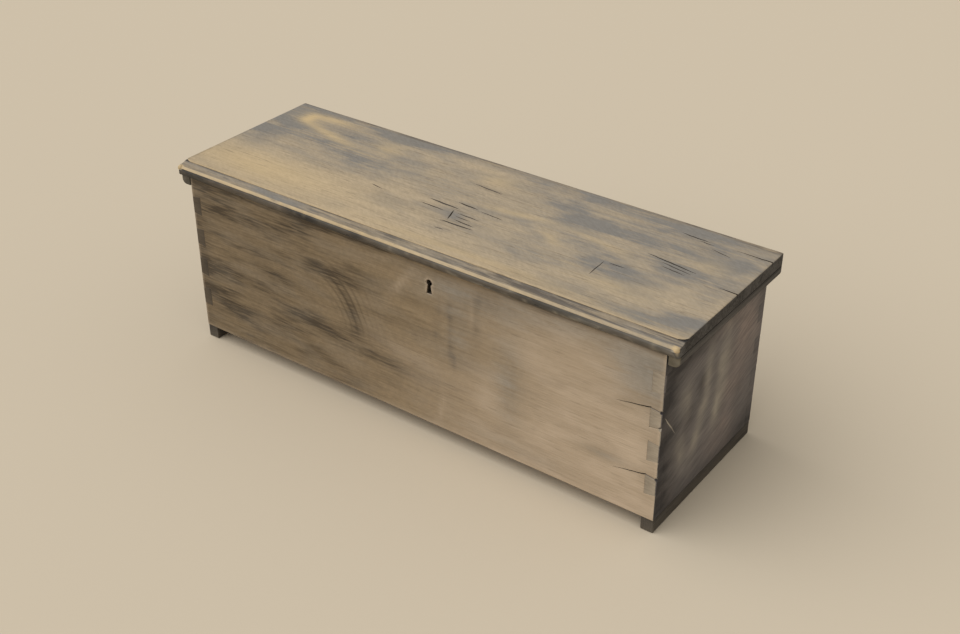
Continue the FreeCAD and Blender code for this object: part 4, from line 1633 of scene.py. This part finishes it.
    def build_bottom(self) -> None:
        """Makes the two bottom boards."""
        first, last = self.nail_middles("bottom_nails")
        places = evenly(first.x, last.x, self.bottom_nails)
        for node, y in (("front_bottom_board", first.y), ("back_bottom_board", last.y)):
            low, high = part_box(node)
            shape = block_between(low, high)
            divide(shape, Axis.X, cuts(low.x, high.x, self.bottom_pitch[0]))
            divide(shape, Axis.Y, cuts(low.y, high.y, self.bottom_pitch[1]))
            piece = wear(shape, node + "_worn", lambda middle, along: self.bottom_arris)
            clothe(piece, [BOTTOM_PINE], lambda middle, normal: 0)
            carve(piece, [self.nail_room(x, y, low.z) for x in places], DIRT_AND_SHADE_PINE)
            paint(piece, {Layer.DARK: lambda place: self.bottom_ends.at(high.x - abs(place.x))})
            self.fit(piece, node, "case", "bottom_wood")

    def build_runners(self) -> None:
        """Makes the two runners, worn round at their feet."""
        first, last = self.nail_middles("runner_nails")
        places = evenly(first.y, last.y, self.runner_nails)
        for side, x in zip(SIDES, (first.x, last.x)):
            node = side + "_runner"
            low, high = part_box(node)
            shape = block_between(low, high)
            divide(shape, Axis.Y, cuts(low.y, high.y, self.runner_pitch))
            worn = worn_at(low.z, self.runner_foot_arris, self.runner_arris, self.runner_uneven)
            piece = wear(shape, node + "_worn", worn)
            clothe(piece, [RUNNER_PINE], lambda middle, normal: 0)
            carve(piece, [self.nail_room(x, y, low.z) for y in places], DIRT_AND_SHADE_PINE)
            paint(piece, {
                Layer.DARK: lambda place: (
                    self.runner_top.at(high.z - place.z)
                    + (self.runner_dark if place.y > low.y + self.runner_end else 0.0)
                ),
                Layer.BARE: lambda place: self.runner_foot.at(place.z - low.z),
            })
            self.fit(piece, node, "case", "runner_wood")


@dataclass
class Lid(Assembly):
    """The one-board lid with its moulded front edge, and the cleats under its ends."""

    # The board's lowest and highest corners
    low: Vector = field(init=False)
    high: Vector = field(init=False)
    thickness: float = 28 * MM
    moulding: float = 26 * MM
    quirk: float = 2.5 * MM
    band_fall: float = 3.5 * MM
    band_hollow: float = 1.0 * MM
    band_steps: int = 5
    nose_radius: float = 12 * MM
    nose_height: float = 10.5 * MM
    nose_steps: int = 12
    corner_radius: float = 10 * MM
    corner_steps: tuple[float, ...] = (0.05, 0.2, 0.45, 0.75, 1.0)
    bead_foot: float = 17.5 * MM
    # The groove under the bead: its level, and its depth and reach
    under_bead: float = 16.5 * MM
    under_bead_cut: Rim = Rim(1.0 * MM, 1.0 * MM)
    top_corner: float = 15 * MM
    round_steps: int = 8
    bead_back: float = 8.0 * MM
    bead_ball: float = 6 * MM
    bead_ball_level: float = 17.5 * MM
    bead_ball_inset: float = 0.2 * MM
    ball_segments: tuple[int, int] = (20, 12)
    arris: float = 0.8 * MM
    end_arris: float = 2.2 * MM
    quirk_arris: float = 0.5 * MM
    top_arris: float = 1.6 * MM
    uneven: Mottle = Mottle(0.7, (26, 26, 26))
    # How square to X a face of the sawn ends lies
    end_facing: float = 0.75
    cleat_round: float = 12 * MM
    cleat_pitch: float = 18 * MM
    cleat_arris: float = 1.8 * MM
    cleat_top_arris: float = 0.6 * MM
    cleat_uneven: Mottle = Mottle(0.5, (35, 35, 35))
    cleat_screws: int = 4
    cleat_screw_margin: float = 40 * MM
    cleat_screw_head: float = 4.7 * MM
    # A screw hole's rise and its share of the head's radius, at its mouth and at its end
    cleat_hole: tuple[tuple[float, float], ...] = ((-PROUD, 1.2), (4 * MM, 0.2))
    hole_segments: int = 20
    hinge_leaf: float = 2.5 * MM
    pitch: float = 8.5 * MM
    # Flakes out of the moulding's face, by X and half their length and depth in millimetres
    chips_mm: tuple[tuple[float, float, float], ...] = (
        (-0.44, 8.0, 3.0), (-0.13, 6.0, 2.6), (0.215, 9.0, 3.2), (0.33, 7.0, 2.4), (0.47, 6.0, 2.6),
    )
    chip_height_mm: float = 3.2
    chip_level: float = 6 * MM
    chip_inset: float = 0.2 * MM
    # Where the moulding's band turns from grey to grimy, by X
    grimy_from: float = 0.1
    grimy_reach: float = 0.13
    # Weathering of the moulding's band, its bead and the face under it, where clean and where grimy
    band_grey: tuple[float, float] = (0.6, 0.4)
    bead_grey: tuple[float, float] = (0.2, 0.5)
    face_grey: tuple[float, float] = (0.1, 0.5)
    band_dark: tuple[float, float] = (0.6, 1.1)
    face_dark: tuple[float, float] = (0.15, 0.45)
    # The bead's pale is worn bare wood and also a painted highlight along the top of the nose
    bead_bare_and_highlight: tuple[float, float] = (0.5, 0.3)
    face_bare: tuple[float, float] = (0.2, 1.0)
    bead_dark: float = 0.05
    bead_end_bare: float = 0.8
    # How unevenly the band is dirty, the face is dirty, and both are knocked pale
    band_uneven: tuple[Mottle, ...] = (
        Mottle(0.4, (24, 60, 0)), Mottle(0.3, (62, 190, 0), (0.0, 0.0, 4.0)),
    )
    face_uneven: Mottle = Mottle(0.6, (40, 0, 90), (0.0, 2.0, 0.0))
    bead_knocks: Mottle = Mottle(0.72, (70, 70, 70))
    face_knocks: Mottle = Mottle(1.08, (70, 70, 70))
    face_unknocked: float = 0.25
    # How deep the top and the moulding count as seen, and how far the quirk's dirt comes up
    top_skin: float = 1.5 * MM
    moulding_skin: float = 0.3 * MM
    quirk_dirt: float = 0.2 * MM
    side_skin: float = 2 * MM
    # Strips along the top's edges, the sides and the face under the bead
    quirk_pale: Rim = Rim(0.3, 7 * MM)
    back_ungreyed: Rim = Rim(0.8, 9 * MM)
    back_dark: Rim = Rim(1.2, 11 * MM)
    left_dark: Rim = Rim(0.7, 5 * MM)
    side_top: Rim = Rim(0.75, 9 * MM)
    # The strip at the sides' foot is painted shade in the seam over the cleats and the case
    side_foot: Rim = Rim(0.6, 6 * MM)
    # The face's two strips are painted shade: in the groove under the bead and along the face's foot
    face_top: Rim = Rim(0.5, 2 * MM)
    face_foot: Rim = Rim(0.6, 4 * MM)
    # Away from the top, a little grey everywhere and a little dirt on the underside
    side_grey: float = 0.1
    under_dark: float = 0.1
    # Strips on the cleats: painted shade in the seam at the lid and under the foot, a painted grey
    # highlight on the round, rubbed at the front
    cleat_top: Rim = Rim(1.0, 7 * MM)
    cleat_foot: Rim = Rim(0.5, 5 * MM)
    cleat_round_highlight: Rim = Rim(0.5, 5 * MM)
    left_cleat_end: Rim = Rim(0.1, 3 * MM)
    right_cleat_end: Rim = Rim(0.25, 3 * MM)
    # Splits and dents of the top, by X and Y
    scars: tuple[Scar, ...] = (
        Scar((0.425, 0.161), (0.492, 0.156), 3.0 * MM, 4 * MM),
        Scar((0.470, 0.151), (0.505, 0.149), 2.4 * MM, 2 * MM),
        Scar((0.548, 0.157), (0.629, 0.156), 4.0 * MM, 12 * MM, Taper.OPEN_END),
        Scar((0.505, 0.135), (0.552, 0.124), 2.6 * MM, 1.6 * MM),
        Scar((0.412, 0.048), (0.530, 0.031), 3.6 * MM, 5 * MM),
        Scar((0.452, 0.033), (0.522, 0.022), 3.0 * MM, 2 * MM),
        Scar((0.458, 0.020), (0.514, 0.012), 2.6 * MM, 2 * MM),
        Scar((0.585, 0.0105), (0.629, 0.009), 4.4 * MM, 14 * MM, Taper.OPEN_END),
        Scar((-0.038, 0.093), (0.040, 0.085), 3.0 * MM, 1.4 * MM),
        Scar((-0.014, 0.004), (0.040, -0.001), 4.6 * MM, 2.2 * MM),
        Scar((0.048, -0.004), (0.108, -0.008), 2.6 * MM, 1.4 * MM),
        Scar((-0.074, -0.016), (0.008, -0.022), 5.0 * MM, 2.2 * MM),
        Scar((-0.078, -0.041), (-0.014, -0.043), 3.2 * MM, 1.6 * MM),
        Scar((0.013, -0.070), (0.000, -0.030), 3.6 * MM, 2.0 * MM),
        Scar((0.014, -0.037), (0.070, -0.039), 3.2 * MM, 1.8 * MM),
        Scar((0.018, -0.050), (0.056, -0.052), 2.6 * MM, 1.4 * MM),
        Scar((0.024, -0.064), (0.078, -0.068), 3.6 * MM, 1.8 * MM),
        Scar((0.002, -0.080), (0.084, -0.079), 4.6 * MM, 2.4 * MM),
        Scar((0.010, -0.112), (0.034, -0.110), 2.4 * MM, 1.2 * MM),
        Scar((-0.216, -0.036), (-0.180, -0.042), 2.6 * MM, 1.2 * MM),
        Scar((0.364, -0.090), (0.361, -0.028), 2.2 * MM, 1.2 * MM),
        Scar((0.372, -0.030), (0.410, -0.029), 3.4 * MM, 1.4 * MM),
    )
    # Places on the top, by X and Y
    grey_patches: tuple[Blot, ...] = (
        Blot((-0.61, 0.09), (0.06, 0.12), 0.7), Blot((-0.57, 0.19), (0.10, 0.025), 0.8),
        Blot((-0.545, 0.075), (0.045, 0.035), 0.45), Blot((-0.40, 0.10), (0.22, 0.10), 0.75),
        Blot((0.38, 0.12), (0.30, 0.11), 0.4), Blot((0.40, 0.01), (0.22, 0.12), 0.25),
        Blot((0.04, 0.02), (0.16, 0.10), 0.2), Blot((0.28, -0.06), (0.22, 0.07), 0.3),
        Blot((0.45, -0.165), (0.20, 0.015), 0.4), Blot((-0.42, 0.130), (0.10, 0.012), 0.7, -0.06),
        Blot((-0.36, 0.055), (0.14, 0.024), 0.75, -0.22), Blot((-0.30, 0.175), (0.10, 0.020), 0.6),
        Blot((-0.07, 0.045), (0.11, 0.022), 0.4), Blot((0.21, 0.095), (0.13, 0.040), 0.3),
        Blot((0.45, 0.135), (0.17, 0.055), 0.4), Blot((0.10, 0.188), (0.50, 0.016), 0.6),
        Blot((0.45, 0.186), (0.30, 0.014), 0.5), Blot((0.22, 0.172), (0.13, 0.030), 0.45),
        Blot((0.41, 0.092), (0.06, 0.030), 0.35), Blot((0.545, 0.012), (0.05, 0.030), 0.4),
        Blot((0.585, 0.11), (0.045, 0.04), 0.4), Blot((0.57, -0.142), (0.11, 0.034), 0.75, 0.28),
        Blot((0.39, -0.045), (0.04, 0.030), 0.5), Blot((0.03, -0.05), (0.07, 0.040), 0.35),
        Blot((0.48, 0.030), (0.06, 0.020), 0.6), Blot((0.59, -0.03), (0.03, 0.05), 0.5),
        Blot((0.20, -0.09), (0.14, 0.025), 0.35),
    )
    pale_figure: tuple[Blot, ...] = (
        Blot((-0.500, 0.165), (0.065, 0.012), 0.75), Blot((-0.556, 0.143), (0.022, 0.022), 0.75),
        Blot((-0.530, 0.142), (0.032, 0.020), 0.22), Blot((-0.460, 0.101), (0.100, 0.013), 0.75, -0.24),
        Blot((-0.295, 0.120), (0.040, 0.030), 0.4), Blot((0.0, 0.130), (0.040, 0.025), 0.35),
        Blot((-0.46, -0.115), (0.24, 0.060), 0.6), Blot((0.11, 0.030), (0.080, 0.009), 0.45, 0.15),
        Blot((0.32, 0.028), (0.090, 0.009), 0.3, -0.17), Blot((0.23, -0.016), (0.030, 0.013), 0.4, -0.5),
        Blot((0.54, 0.072), (0.040, 0.028), 0.25), Blot((0.42, -0.10), (0.08, 0.025), 0.25),
        Blot((0.12, -0.165), (0.32, 0.013), 0.4),
    )
    dark_patches: tuple[Blot, ...] = (
        Blot((0.03, -0.05), (0.05, 0.035), 0.2), Blot((0.00, 0.088), (0.035, 0.006), 0.5, -0.1),
        Blot((0.39, -0.030), (0.035, 0.010), 0.45), Blot((0.47, 0.035), (0.06, 0.010), 0.4, -0.1),
        Blot((0.52, 0.125), (0.05, 0.012), 0.35, -0.15), Blot((0.45, 0.155), (0.05, 0.010), 0.3),
        Blot((0.36, 0.188), (0.26, 0.014), 0.4), Blot((0.33, -0.165), (0.30, 0.010), 0.25),
        Blot((-0.42, 0.130), (0.08, 0.008), 0.3, -0.06),
    )

    def build(self) -> None:
        """Makes the lid and its cleats."""
        self.low, self.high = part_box("lid_board")
        self.build_board()
        for side in SIDES:
            self.build_cleat(side)

    def nose_y(self, height: float) -> float:
        """Where the nose's face is at a height above the lid's underside."""
        rise = height - self.nose_height
        return self.low.y + self.nose_radius - math.sqrt(self.nose_radius ** 2 - rise ** 2)

    def section(self) -> list[tuple[float, float]]:
        """Draws the lid's cross-section.

        Returns:
            Points by Y and Z, from the lower back edge over the top to the nose.
        """
        back = self.high.y
        quirk_y = self.low.y + self.moulding
        band_back = self.thickness - self.quirk
        band_front = band_back - self.band_fall
        band_nose = self.nose_y(band_front)
        points = [(back, 0.0), (back, self.thickness), (quirk_y, self.thickness), (quirk_y, band_back)]
        for step in range(1, self.band_steps):
            share = step / self.band_steps
            level = band_back - self.band_fall * share - self.band_hollow * math.sin(math.pi * share)
            points.append((quirk_y + (band_nose - quirk_y) * share, level))
        for step in range(self.nose_steps + 1):
            height = band_front * (1 - step / self.nose_steps)
            cut = self.under_bead_cut.at(height - self.under_bead)
            points.append((self.nose_y(height) + cut, height))
        return [(y, self.low.z + height) for y, height in points]

    def board_shape(self) -> Solid:
        """Makes the lid's sharp solid with its front corners rounded.

        Returns:
            The divided solid.
        """
        low, high = self.low, self.high
        shape = prism(self.section(), Axis.X, low.x, high.x)
        divide(shape, Axis.Y, cuts(low.y + self.moulding, high.y, self.pitch))
        divide(shape, Axis.Y, [low.y + self.corner_radius * share for share in self.corner_steps])
        divide(shape, Axis.X, cuts(low.x, high.x, self.pitch))
        for vert in shape.verts:
            inset = low.y + self.corner_radius - vert.co.y
            if inset > 0 and near(abs(vert.co.x), high.x):
                reach = math.sqrt(max(0.0, self.corner_radius ** 2 - inset ** 2))
                vert.co.x = math.copysign(high.x - self.corner_radius + reach, vert.co.x)
        return shape

    def exposed(self, middle: Vector, along: Vector) -> float:
        """Gives how far an arris of the lid board is worn.

        Args:
            middle: the edge's middle.
            along: its direction.

        Returns:
            The round's radius.
        """
        rough = 1 + self.uneven.at(middle)
        at_end = abs(middle.x) > self.high.x - self.corner_radius - LEEWAY
        if at_end and abs(along.x) < MOSTLY:
            return self.end_arris * rough
        if near(middle.y, self.low.y + self.moulding):
            return self.quirk_arris * rough
        return self.top_arris * rough if near(middle.z, self.high.z) else self.arris

    def chosen(self, middle: Vector, normal: Vector) -> int:
        """Gives the index of a face's finish: top, underside, sawn end or face under the bead.

        Args:
            middle: the face's middle.
            normal: its normal.

        Returns:
            The index.
        """
        if abs(normal.x) > self.end_facing:
            return 2
        if normal.z < -SQUARE:
            return 1
        in_nose = middle.y < self.low.y + self.nose_radius
        return 3 if in_nose and self.under_the_bead(middle) else 0

    def ball_centre(self, side: float) -> Vector:
        """The middle of the ball that the bead ends in, with 1 for the right side and -1 for the left."""
        y = self.low.y + self.bead_ball + self.bead_ball_inset
        return Vector((side * (self.high.x - self.bead_ball), y, self.low.z + self.bead_ball_level))

    def bead_end(self, side: float) -> Solid:
        """Makes the ball that the bead ends in.

        Args:
            side: 1 on the right, -1 on the left.

        Returns:
            A closed ball.
        """
        ball = bmesh.new()
        around, up = self.ball_segments
        bmesh.ops.create_uvsphere(ball, u_segments=around, v_segments=up, radius=self.bead_ball)
        bmesh.ops.translate(ball, verts=ball.verts, vec=self.ball_centre(side))
        return ball

    def corner_cut(self, side: float) -> Solid:
        """Makes the waste that rounds a front corner of the top, down to the moulding's band.

        Args:
            side: 1 on the right, -1 on the left.

        Returns:
            A closed solid that stands out of the lid.
        """
        over = 2 * PROUD
        reach = self.top_corner
        edge = self.high.x
        quirk_y = self.low.y + self.moulding
        outline = [(edge + over, quirk_y - over), (edge + over, quirk_y + reach)]
        for cosine, sine in quarter_turn(self.round_steps):
            outline.append((edge - reach + reach * cosine, quirk_y + reach - reach * sine))
        outline.append((edge - reach, quirk_y - over))
        placed = [(side * x, y) for x, y in outline]
        return prism(placed, Axis.Z, self.low.z + self.thickness - self.quirk, self.high.z + over)

    def recesses(self) -> list[Solid]:
        """Makes the recesses of the hinges' leaves and the link plate.

        Returns:
            Closed blocks.
        """
        foot = self.low.z - PROUD
        plate_low, plate_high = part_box("link_plate")
        blocks = []
        for side in SIDES:
            leaf_low, leaf_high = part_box(side + "_hinge_lid_leaf")
            inner = Vector((leaf_high.x, self.high.y + PROUD, self.low.z + self.hinge_leaf))
            blocks.append(block_between(Vector((leaf_low.x, leaf_low.y, foot)), inner))
        blocks.append(block_between(Vector((plate_low.x, plate_low.y, foot)), plate_high))
        return blocks

    def flakes(self) -> list[Solid]:
        """Makes the flakes knocked out of the face under the bead.

        Returns:
            Closed pebbles.
        """
        y = self.low.y + self.chip_inset
        z = self.low.z + self.chip_level
        return [
            chip(Vector((x, y, z)), Vector((length, deep, self.chip_height_mm)) * MM)
            for x, length, deep in self.chips_mm
        ]

    def build_board(self) -> None:
        """Makes the lid board with its mouldings, splits and dents."""
        node = "lid_board"
        top = self.high.z
        piece = wear(self.board_shape(), node + "_worn", self.exposed)
        clothe(piece, [LID_PINE, INSIDE_PINE, LID_END_PINE, FASCIA_PINE], self.chosen)
        carve(piece, [self.corner_cut(side) for side in (-1, 1)], LID_END_PINE)
        carve(piece, [self.bead_end(side) for side in (-1, 1)], LID_PINE, joinery=Joinery.ADD)
        carve(piece, self.recesses(), DIRT_AND_SHADE_PINE)
        scars = [scar.cutter(lambda x, y, rise: Vector((x, y, top + rise))) for scar in self.scars]
        carve(piece, scars, DIRT_AND_SHADE_PINE)
        carve(piece, self.flakes(), FASCIA_PINE)
        paint(piece, {Layer.BARE: self.bare, Layer.TONED: self.grey, Layer.DARK: self.dark})
        self.fit(piece, node, "lid", "lid_wood")

    def at_bead_end(self, place: Vector) -> bool:
        """Whether a place is on the bead's end, which hands keep pale."""
        centre = self.ball_centre(math.copysign(1, place.x))
        return (place - centre).length < self.bead_ball + self.moulding_skin

    def on_top(self, place: Vector) -> bool:
        """Whether a place is on the top."""
        return place.z > self.high.z - self.top_skin

    def in_moulding(self, place: Vector) -> bool:
        """Whether a place is in front of the quirk."""
        return place.y < self.low.y + self.moulding - self.moulding_skin

    def under_the_bead(self, place: Vector) -> bool:
        """Whether a place in the moulding is on the face under the bead."""
        return place.z < self.low.z + self.bead_foot

    def on_band(self, place: Vector) -> bool:
        """Whether a place in the moulding is behind the bead."""
        return place.y > self.low.y + self.bead_back

    def soiled(self, place: Vector, share: tuple[float, float]) -> float:
        """A share that changes from the clean end of the moulding to the grimy one."""
        return share[0] + (share[1] - share[0]) * ramp(place.x, self.grimy_from, self.grimy_reach)

    def bare(self, place: Vector) -> float:
        """Gives how bare a place on the lid board is.

        Args:
            place: the place.

        Returns:
            The strength there.
        """
        if self.at_bead_end(place):
            return self.bead_end_bare
        if self.in_moulding(place):
            if self.under_the_bead(place):
                knocked = max(0.0, self.face_knocks.at(place) - self.face_unknocked)
                return knocked * self.soiled(place, self.face_bare)
            # On the bead the pale is worn bare wood and also a painted highlight along the top of the nose
            rubbed = (1 + self.bead_knocks.at(place)) * self.soiled(place, self.bead_bare_and_highlight)
            return 0.0 if self.on_band(place) else rubbed
        if not self.on_top(place):
            return 0.0
        edge = self.quirk_pale.at(place.y - self.low.y - self.moulding)
        return edge + spread(self.pale_figure, place.x, place.y)

    def grey(self, place: Vector) -> float:
        """Gives how far a place on the lid board is greyed.

        Args:
            place: the place.

        Returns:
            The strength there.
        """
        if self.in_moulding(place):
            if self.under_the_bead(place):
                return self.soiled(place, self.face_grey)
            return self.soiled(place, self.band_grey if self.on_band(place) else self.bead_grey)
        if not self.on_top(place):
            return self.side_grey
        clear = 1 - self.back_ungreyed.at(self.high.y - place.y)
        return clear * spread(self.grey_patches, place.x, place.y)

    def dark(self, place: Vector) -> float:
        """Gives how dark a place on the lid board is.

        Args:
            place: the place.

        Returns:
            The strength there.
        """
        above_foot = place.z - self.low.z
        below_top = self.high.z - place.z
        behind_quirk = place.y - self.low.y - self.moulding
        if self.at_bead_end(place):
            return 0.0
        if -LEEWAY < behind_quirk < self.quirk_dirt and not self.on_top(place):
            return 1.0
        if self.in_moulding(place) and self.under_the_bead(place):
            # Painted shade in the groove under the bead and along the foot of the face
            rims = self.face_top.at(above_foot - self.under_bead) + self.face_foot.at(above_foot)
            return self.soiled(place, self.face_dark) + self.face_uneven.at(place) + rims
        if self.in_moulding(place):
            worn = sum(mottle.at(place) for mottle in self.band_uneven)
            return self.soiled(place, self.band_dark) + worn if self.on_band(place) else self.bead_dark
        if self.on_top(place):
            edges = self.back_dark.at(self.high.y - place.y) + self.left_dark.at(place.x - self.low.x)
            return edges + spread(self.dark_patches, place.x, place.y)
        if abs(place.x) < self.high.x - self.side_skin and place.y < self.high.y - self.side_skin:
            return self.under_dark
        # The strip at the foot is painted shade in the seam over the cleats and the case
        return self.side_top.at(below_top) + self.side_foot.at(above_foot)

    def screw_hole(self, centre: Vector) -> Solid:
        """Makes the sunk place of a cleat's screw.

        Args:
            centre: the middle of its mouth, on the cleat's foot.

        Returns:
            A closed cone.
        """
        angles = [math.tau * step / self.hole_segments for step in range(self.hole_segments)]
        rings = []
        for rise, share in self.cleat_hole:
            radius = self.cleat_screw_head * share
            points = [(math.cos(angle) * radius, math.sin(angle) * radius, rise) for angle in angles]
            rings.append([centre + Vector(point) for point in points])
        return solid_between(*rings)

    def build_cleat(self, side: str) -> None:
        """Makes a cleat, rounded along its lower outer edge.

        Args:
            side: left or right.
        """
        node = side + "_cleat"
        low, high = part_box(node)
        outer, inner = (high.x, low.x) if side == "right" else (low.x, high.x)
        inward = math.copysign(self.cleat_round, inner - outer)
        section = [(inner, high.z), (inner, low.z)]
        for cosine, sine in quarter_turn(self.round_steps):
            section.append((outer + inward * (1 - sine), low.z + self.cleat_round * (1 - cosine)))
        section.append((outer, high.z))
        shape = prism(section, Axis.Y, low.y, high.y)
        divide(shape, Axis.Y, cuts(low.y, high.y, self.cleat_pitch))
        worn = worn_at(high.z, self.cleat_top_arris, self.cleat_arris, self.cleat_uneven)
        piece = wear(shape, node + "_worn", worn)
        clothe(piece, [CLEAT_PINE, CLEAT_END_PINE], lambda middle, normal: int(abs(normal.y) > MOSTLY))
        middle_x = (outer + inner) / 2
        margin = self.cleat_screw_margin
        places = evenly(low.y + margin, high.y - margin, self.cleat_screws)
        carve(piece, [self.screw_hole(Vector((middle_x, y, low.z))) for y in places], DIRT_AND_SHADE_PINE)
        rubbed = self.right_cleat_end if side == "right" else self.left_cleat_end
        # Painted shade in the seam at the lid and under the foot, and a painted highlight along the round
        paint(piece, {
            Layer.DARK: lambda place: (
                self.cleat_top.at(high.z - place.z) + self.cleat_foot.at(place.z - low.z)
            ),
            Layer.BARE: lambda place: rubbed.at(place.y - low.y),
            Layer.TONED: lambda place: self.cleat_round_highlight.at(place.z - low.z - self.cleat_round),
        })
        self.fit(piece, node, "lid", "cleat_wood")


@dataclass
class Ironwork(Assembly):
    """Hinges, lock, link plate, screws and nails, which keep their CAD shapes."""

    leaf_ease: float = 0.35 * MM
    plate_ease: float = 0.3 * MM

    def build(self) -> None:
        """Gives every iron piece its finish."""
        hinge = HINGE_IRON.build()
        lock = LOCK_IRON.build()
        screws = SCREW_IRON.build()
        nails = NAIL_IRON.build()
        for side in SIDES:
            for part in ("hinge_case_leaf", "hinge_lid_leaf", "hinge_pin"):
                self.dress(side + "_" + part, hinge, self.leaf_ease)
        for node in ("lock_plate", "lock_case", "lock_bolt", "link_plate", "link_staple"):
            self.dress(node, lock, self.plate_ease)
        for node in ("lock_spring", "lock_drill_pin"):
            self.dress(node, lock, 0.0)
        for node in ("cleat_screws", "hinge_case_screws", "hinge_lid_screws", "lock_screws", "link_screws"):
            self.dress(node, screws, 0.0)
        for node in ("bottom_nails", "runner_nails"):
            self.dress(node, nails, 0.0)


@dataclass
class Studio:
    """A plain pale floor, one soft lamp, an even sky and the camera."""

    floor_colour: str = "#CBBEA9"
    floor_reach: float = 14.0
    floor_segments: int = 64
    floor_roughness: float = 0.95
    sky: float = 0.56
    sky_tint: str = "#FFFDF9"
    lamp: float = 1.95
    lamp_angle: float = math.radians(75)
    lamp_from: tuple[float, float, float] = (-0.43, -0.48, 0.77)
    lens: float = 51.07
    azimuth: float = math.radians(36.21)
    elevation: float = math.radians(31.87)
    distance: float = 2.9325
    aim: tuple[float, float, float] = (0.0439, 0.0, 0.1862)

    def build(self) -> None:
        """Makes the stage and sets the camera."""
        scene = bpy.context.scene
        scene.view_settings.view_transform = "Standard"
        self.build_floor()
        self.build_sky(scene)
        self.build_lamp(scene)
        self.build_camera(scene)

    def build_floor(self) -> None:
        """Makes the floor, which keeps the chest's shadow."""
        shape = bmesh.new()
        bmesh.ops.create_circle(shape, cap_ends=True, segments=self.floor_segments, radius=self.floor_reach)
        floor = link_mesh(shape, "floor")
        # Matt paper: an even pale tan without gloss
        material, tree, shader = new_material("pale_paper_floor")
        set_inputs(tree, shader, {
            "Base Color": linear(self.floor_colour), "Roughness": self.floor_roughness,
            "Specular IOR Level": 0.0,
        })
        floor.data.materials.append(material)

    def build_sky(self, scene: bpy.types.Scene) -> None:
        """Makes an even sky that shows the floor's colour to the camera and to gloss.

        Args:
            scene: the scene that it lights.
        """
        sky = bpy.data.worlds.new("even_sky")
        sky.use_nodes = True
        tree = sky.node_tree
        tree.nodes.clear()
        path = add_node(tree, "ShaderNodeLightPath")
        seen = path.outputs["Is Camera Ray"]
        for kind in ("Is Glossy Ray", "Is Transmission Ray"):
            seen = add_node(
                tree, "ShaderNodeMath", {0: seen, 1: path.outputs[kind]}, operation="MAXIMUM",
            ).outputs[0]
        light, shown = (
            add_node(tree, "ShaderNodeBackground", {"Color": linear(colour), "Strength": strength})
            for colour, strength in ((self.sky_tint, self.sky), (self.floor_colour, 1.0))
        )
        mixed = add_node(tree, "ShaderNodeMixShader", {0: seen, 1: light.outputs[0], 2: shown.outputs[0]})
        add_node(tree, "ShaderNodeOutputWorld", {"Surface": mixed.outputs[0]})
        scene.world = sky

    def build_lamp(self, scene: bpy.types.Scene) -> None:
        """Hangs the soft lamp.

        Args:
            scene: the scene that it lights.
        """
        lamp = bpy.data.lights.new("soft_lamp", "SUN")
        lamp.energy = self.lamp
        lamp.angle = self.lamp_angle
        lamp_object = bpy.data.objects.new("soft_lamp", lamp)
        lamp_object.rotation_euler = Vector(self.lamp_from).to_track_quat("Z", "Y").to_euler()
        scene.collection.objects.link(lamp_object)

    def build_camera(self, scene: bpy.types.Scene) -> None:
        """Sets the camera where the picture was seen from.

        Args:
            scene: the scene that it looks at.
        """
        camera = bpy.data.cameras.new("camera")
        camera.lens = self.lens
        camera_object = bpy.data.objects.new("camera", camera)
        level = math.cos(self.elevation)
        back = Vector((
            math.sin(self.azimuth) * level, -math.cos(self.azimuth) * level, math.sin(self.elevation),
        ))
        camera_object.location = Vector(self.aim) + back * self.distance
        camera_object.rotation_euler = back.to_track_quat("Z", "Y").to_euler()
        scene.collection.objects.link(camera_object)
        scene.camera = camera_object


def main() -> None:
    """Builds the chest and its stage and reports every piece."""
    logging.basicConfig(level=logging.INFO, format="%(name)s: %(message)s")
    for assembly in (Case(), Lid(), Ironwork()):
        assembly.build()
        for piece in assembly.pieces:
            LOG.info("%s has %s: %d faces", type(assembly).__name__, piece.name, len(piece.data.polygons))
    Studio().build()


if __name__ == "__main__":
    main()
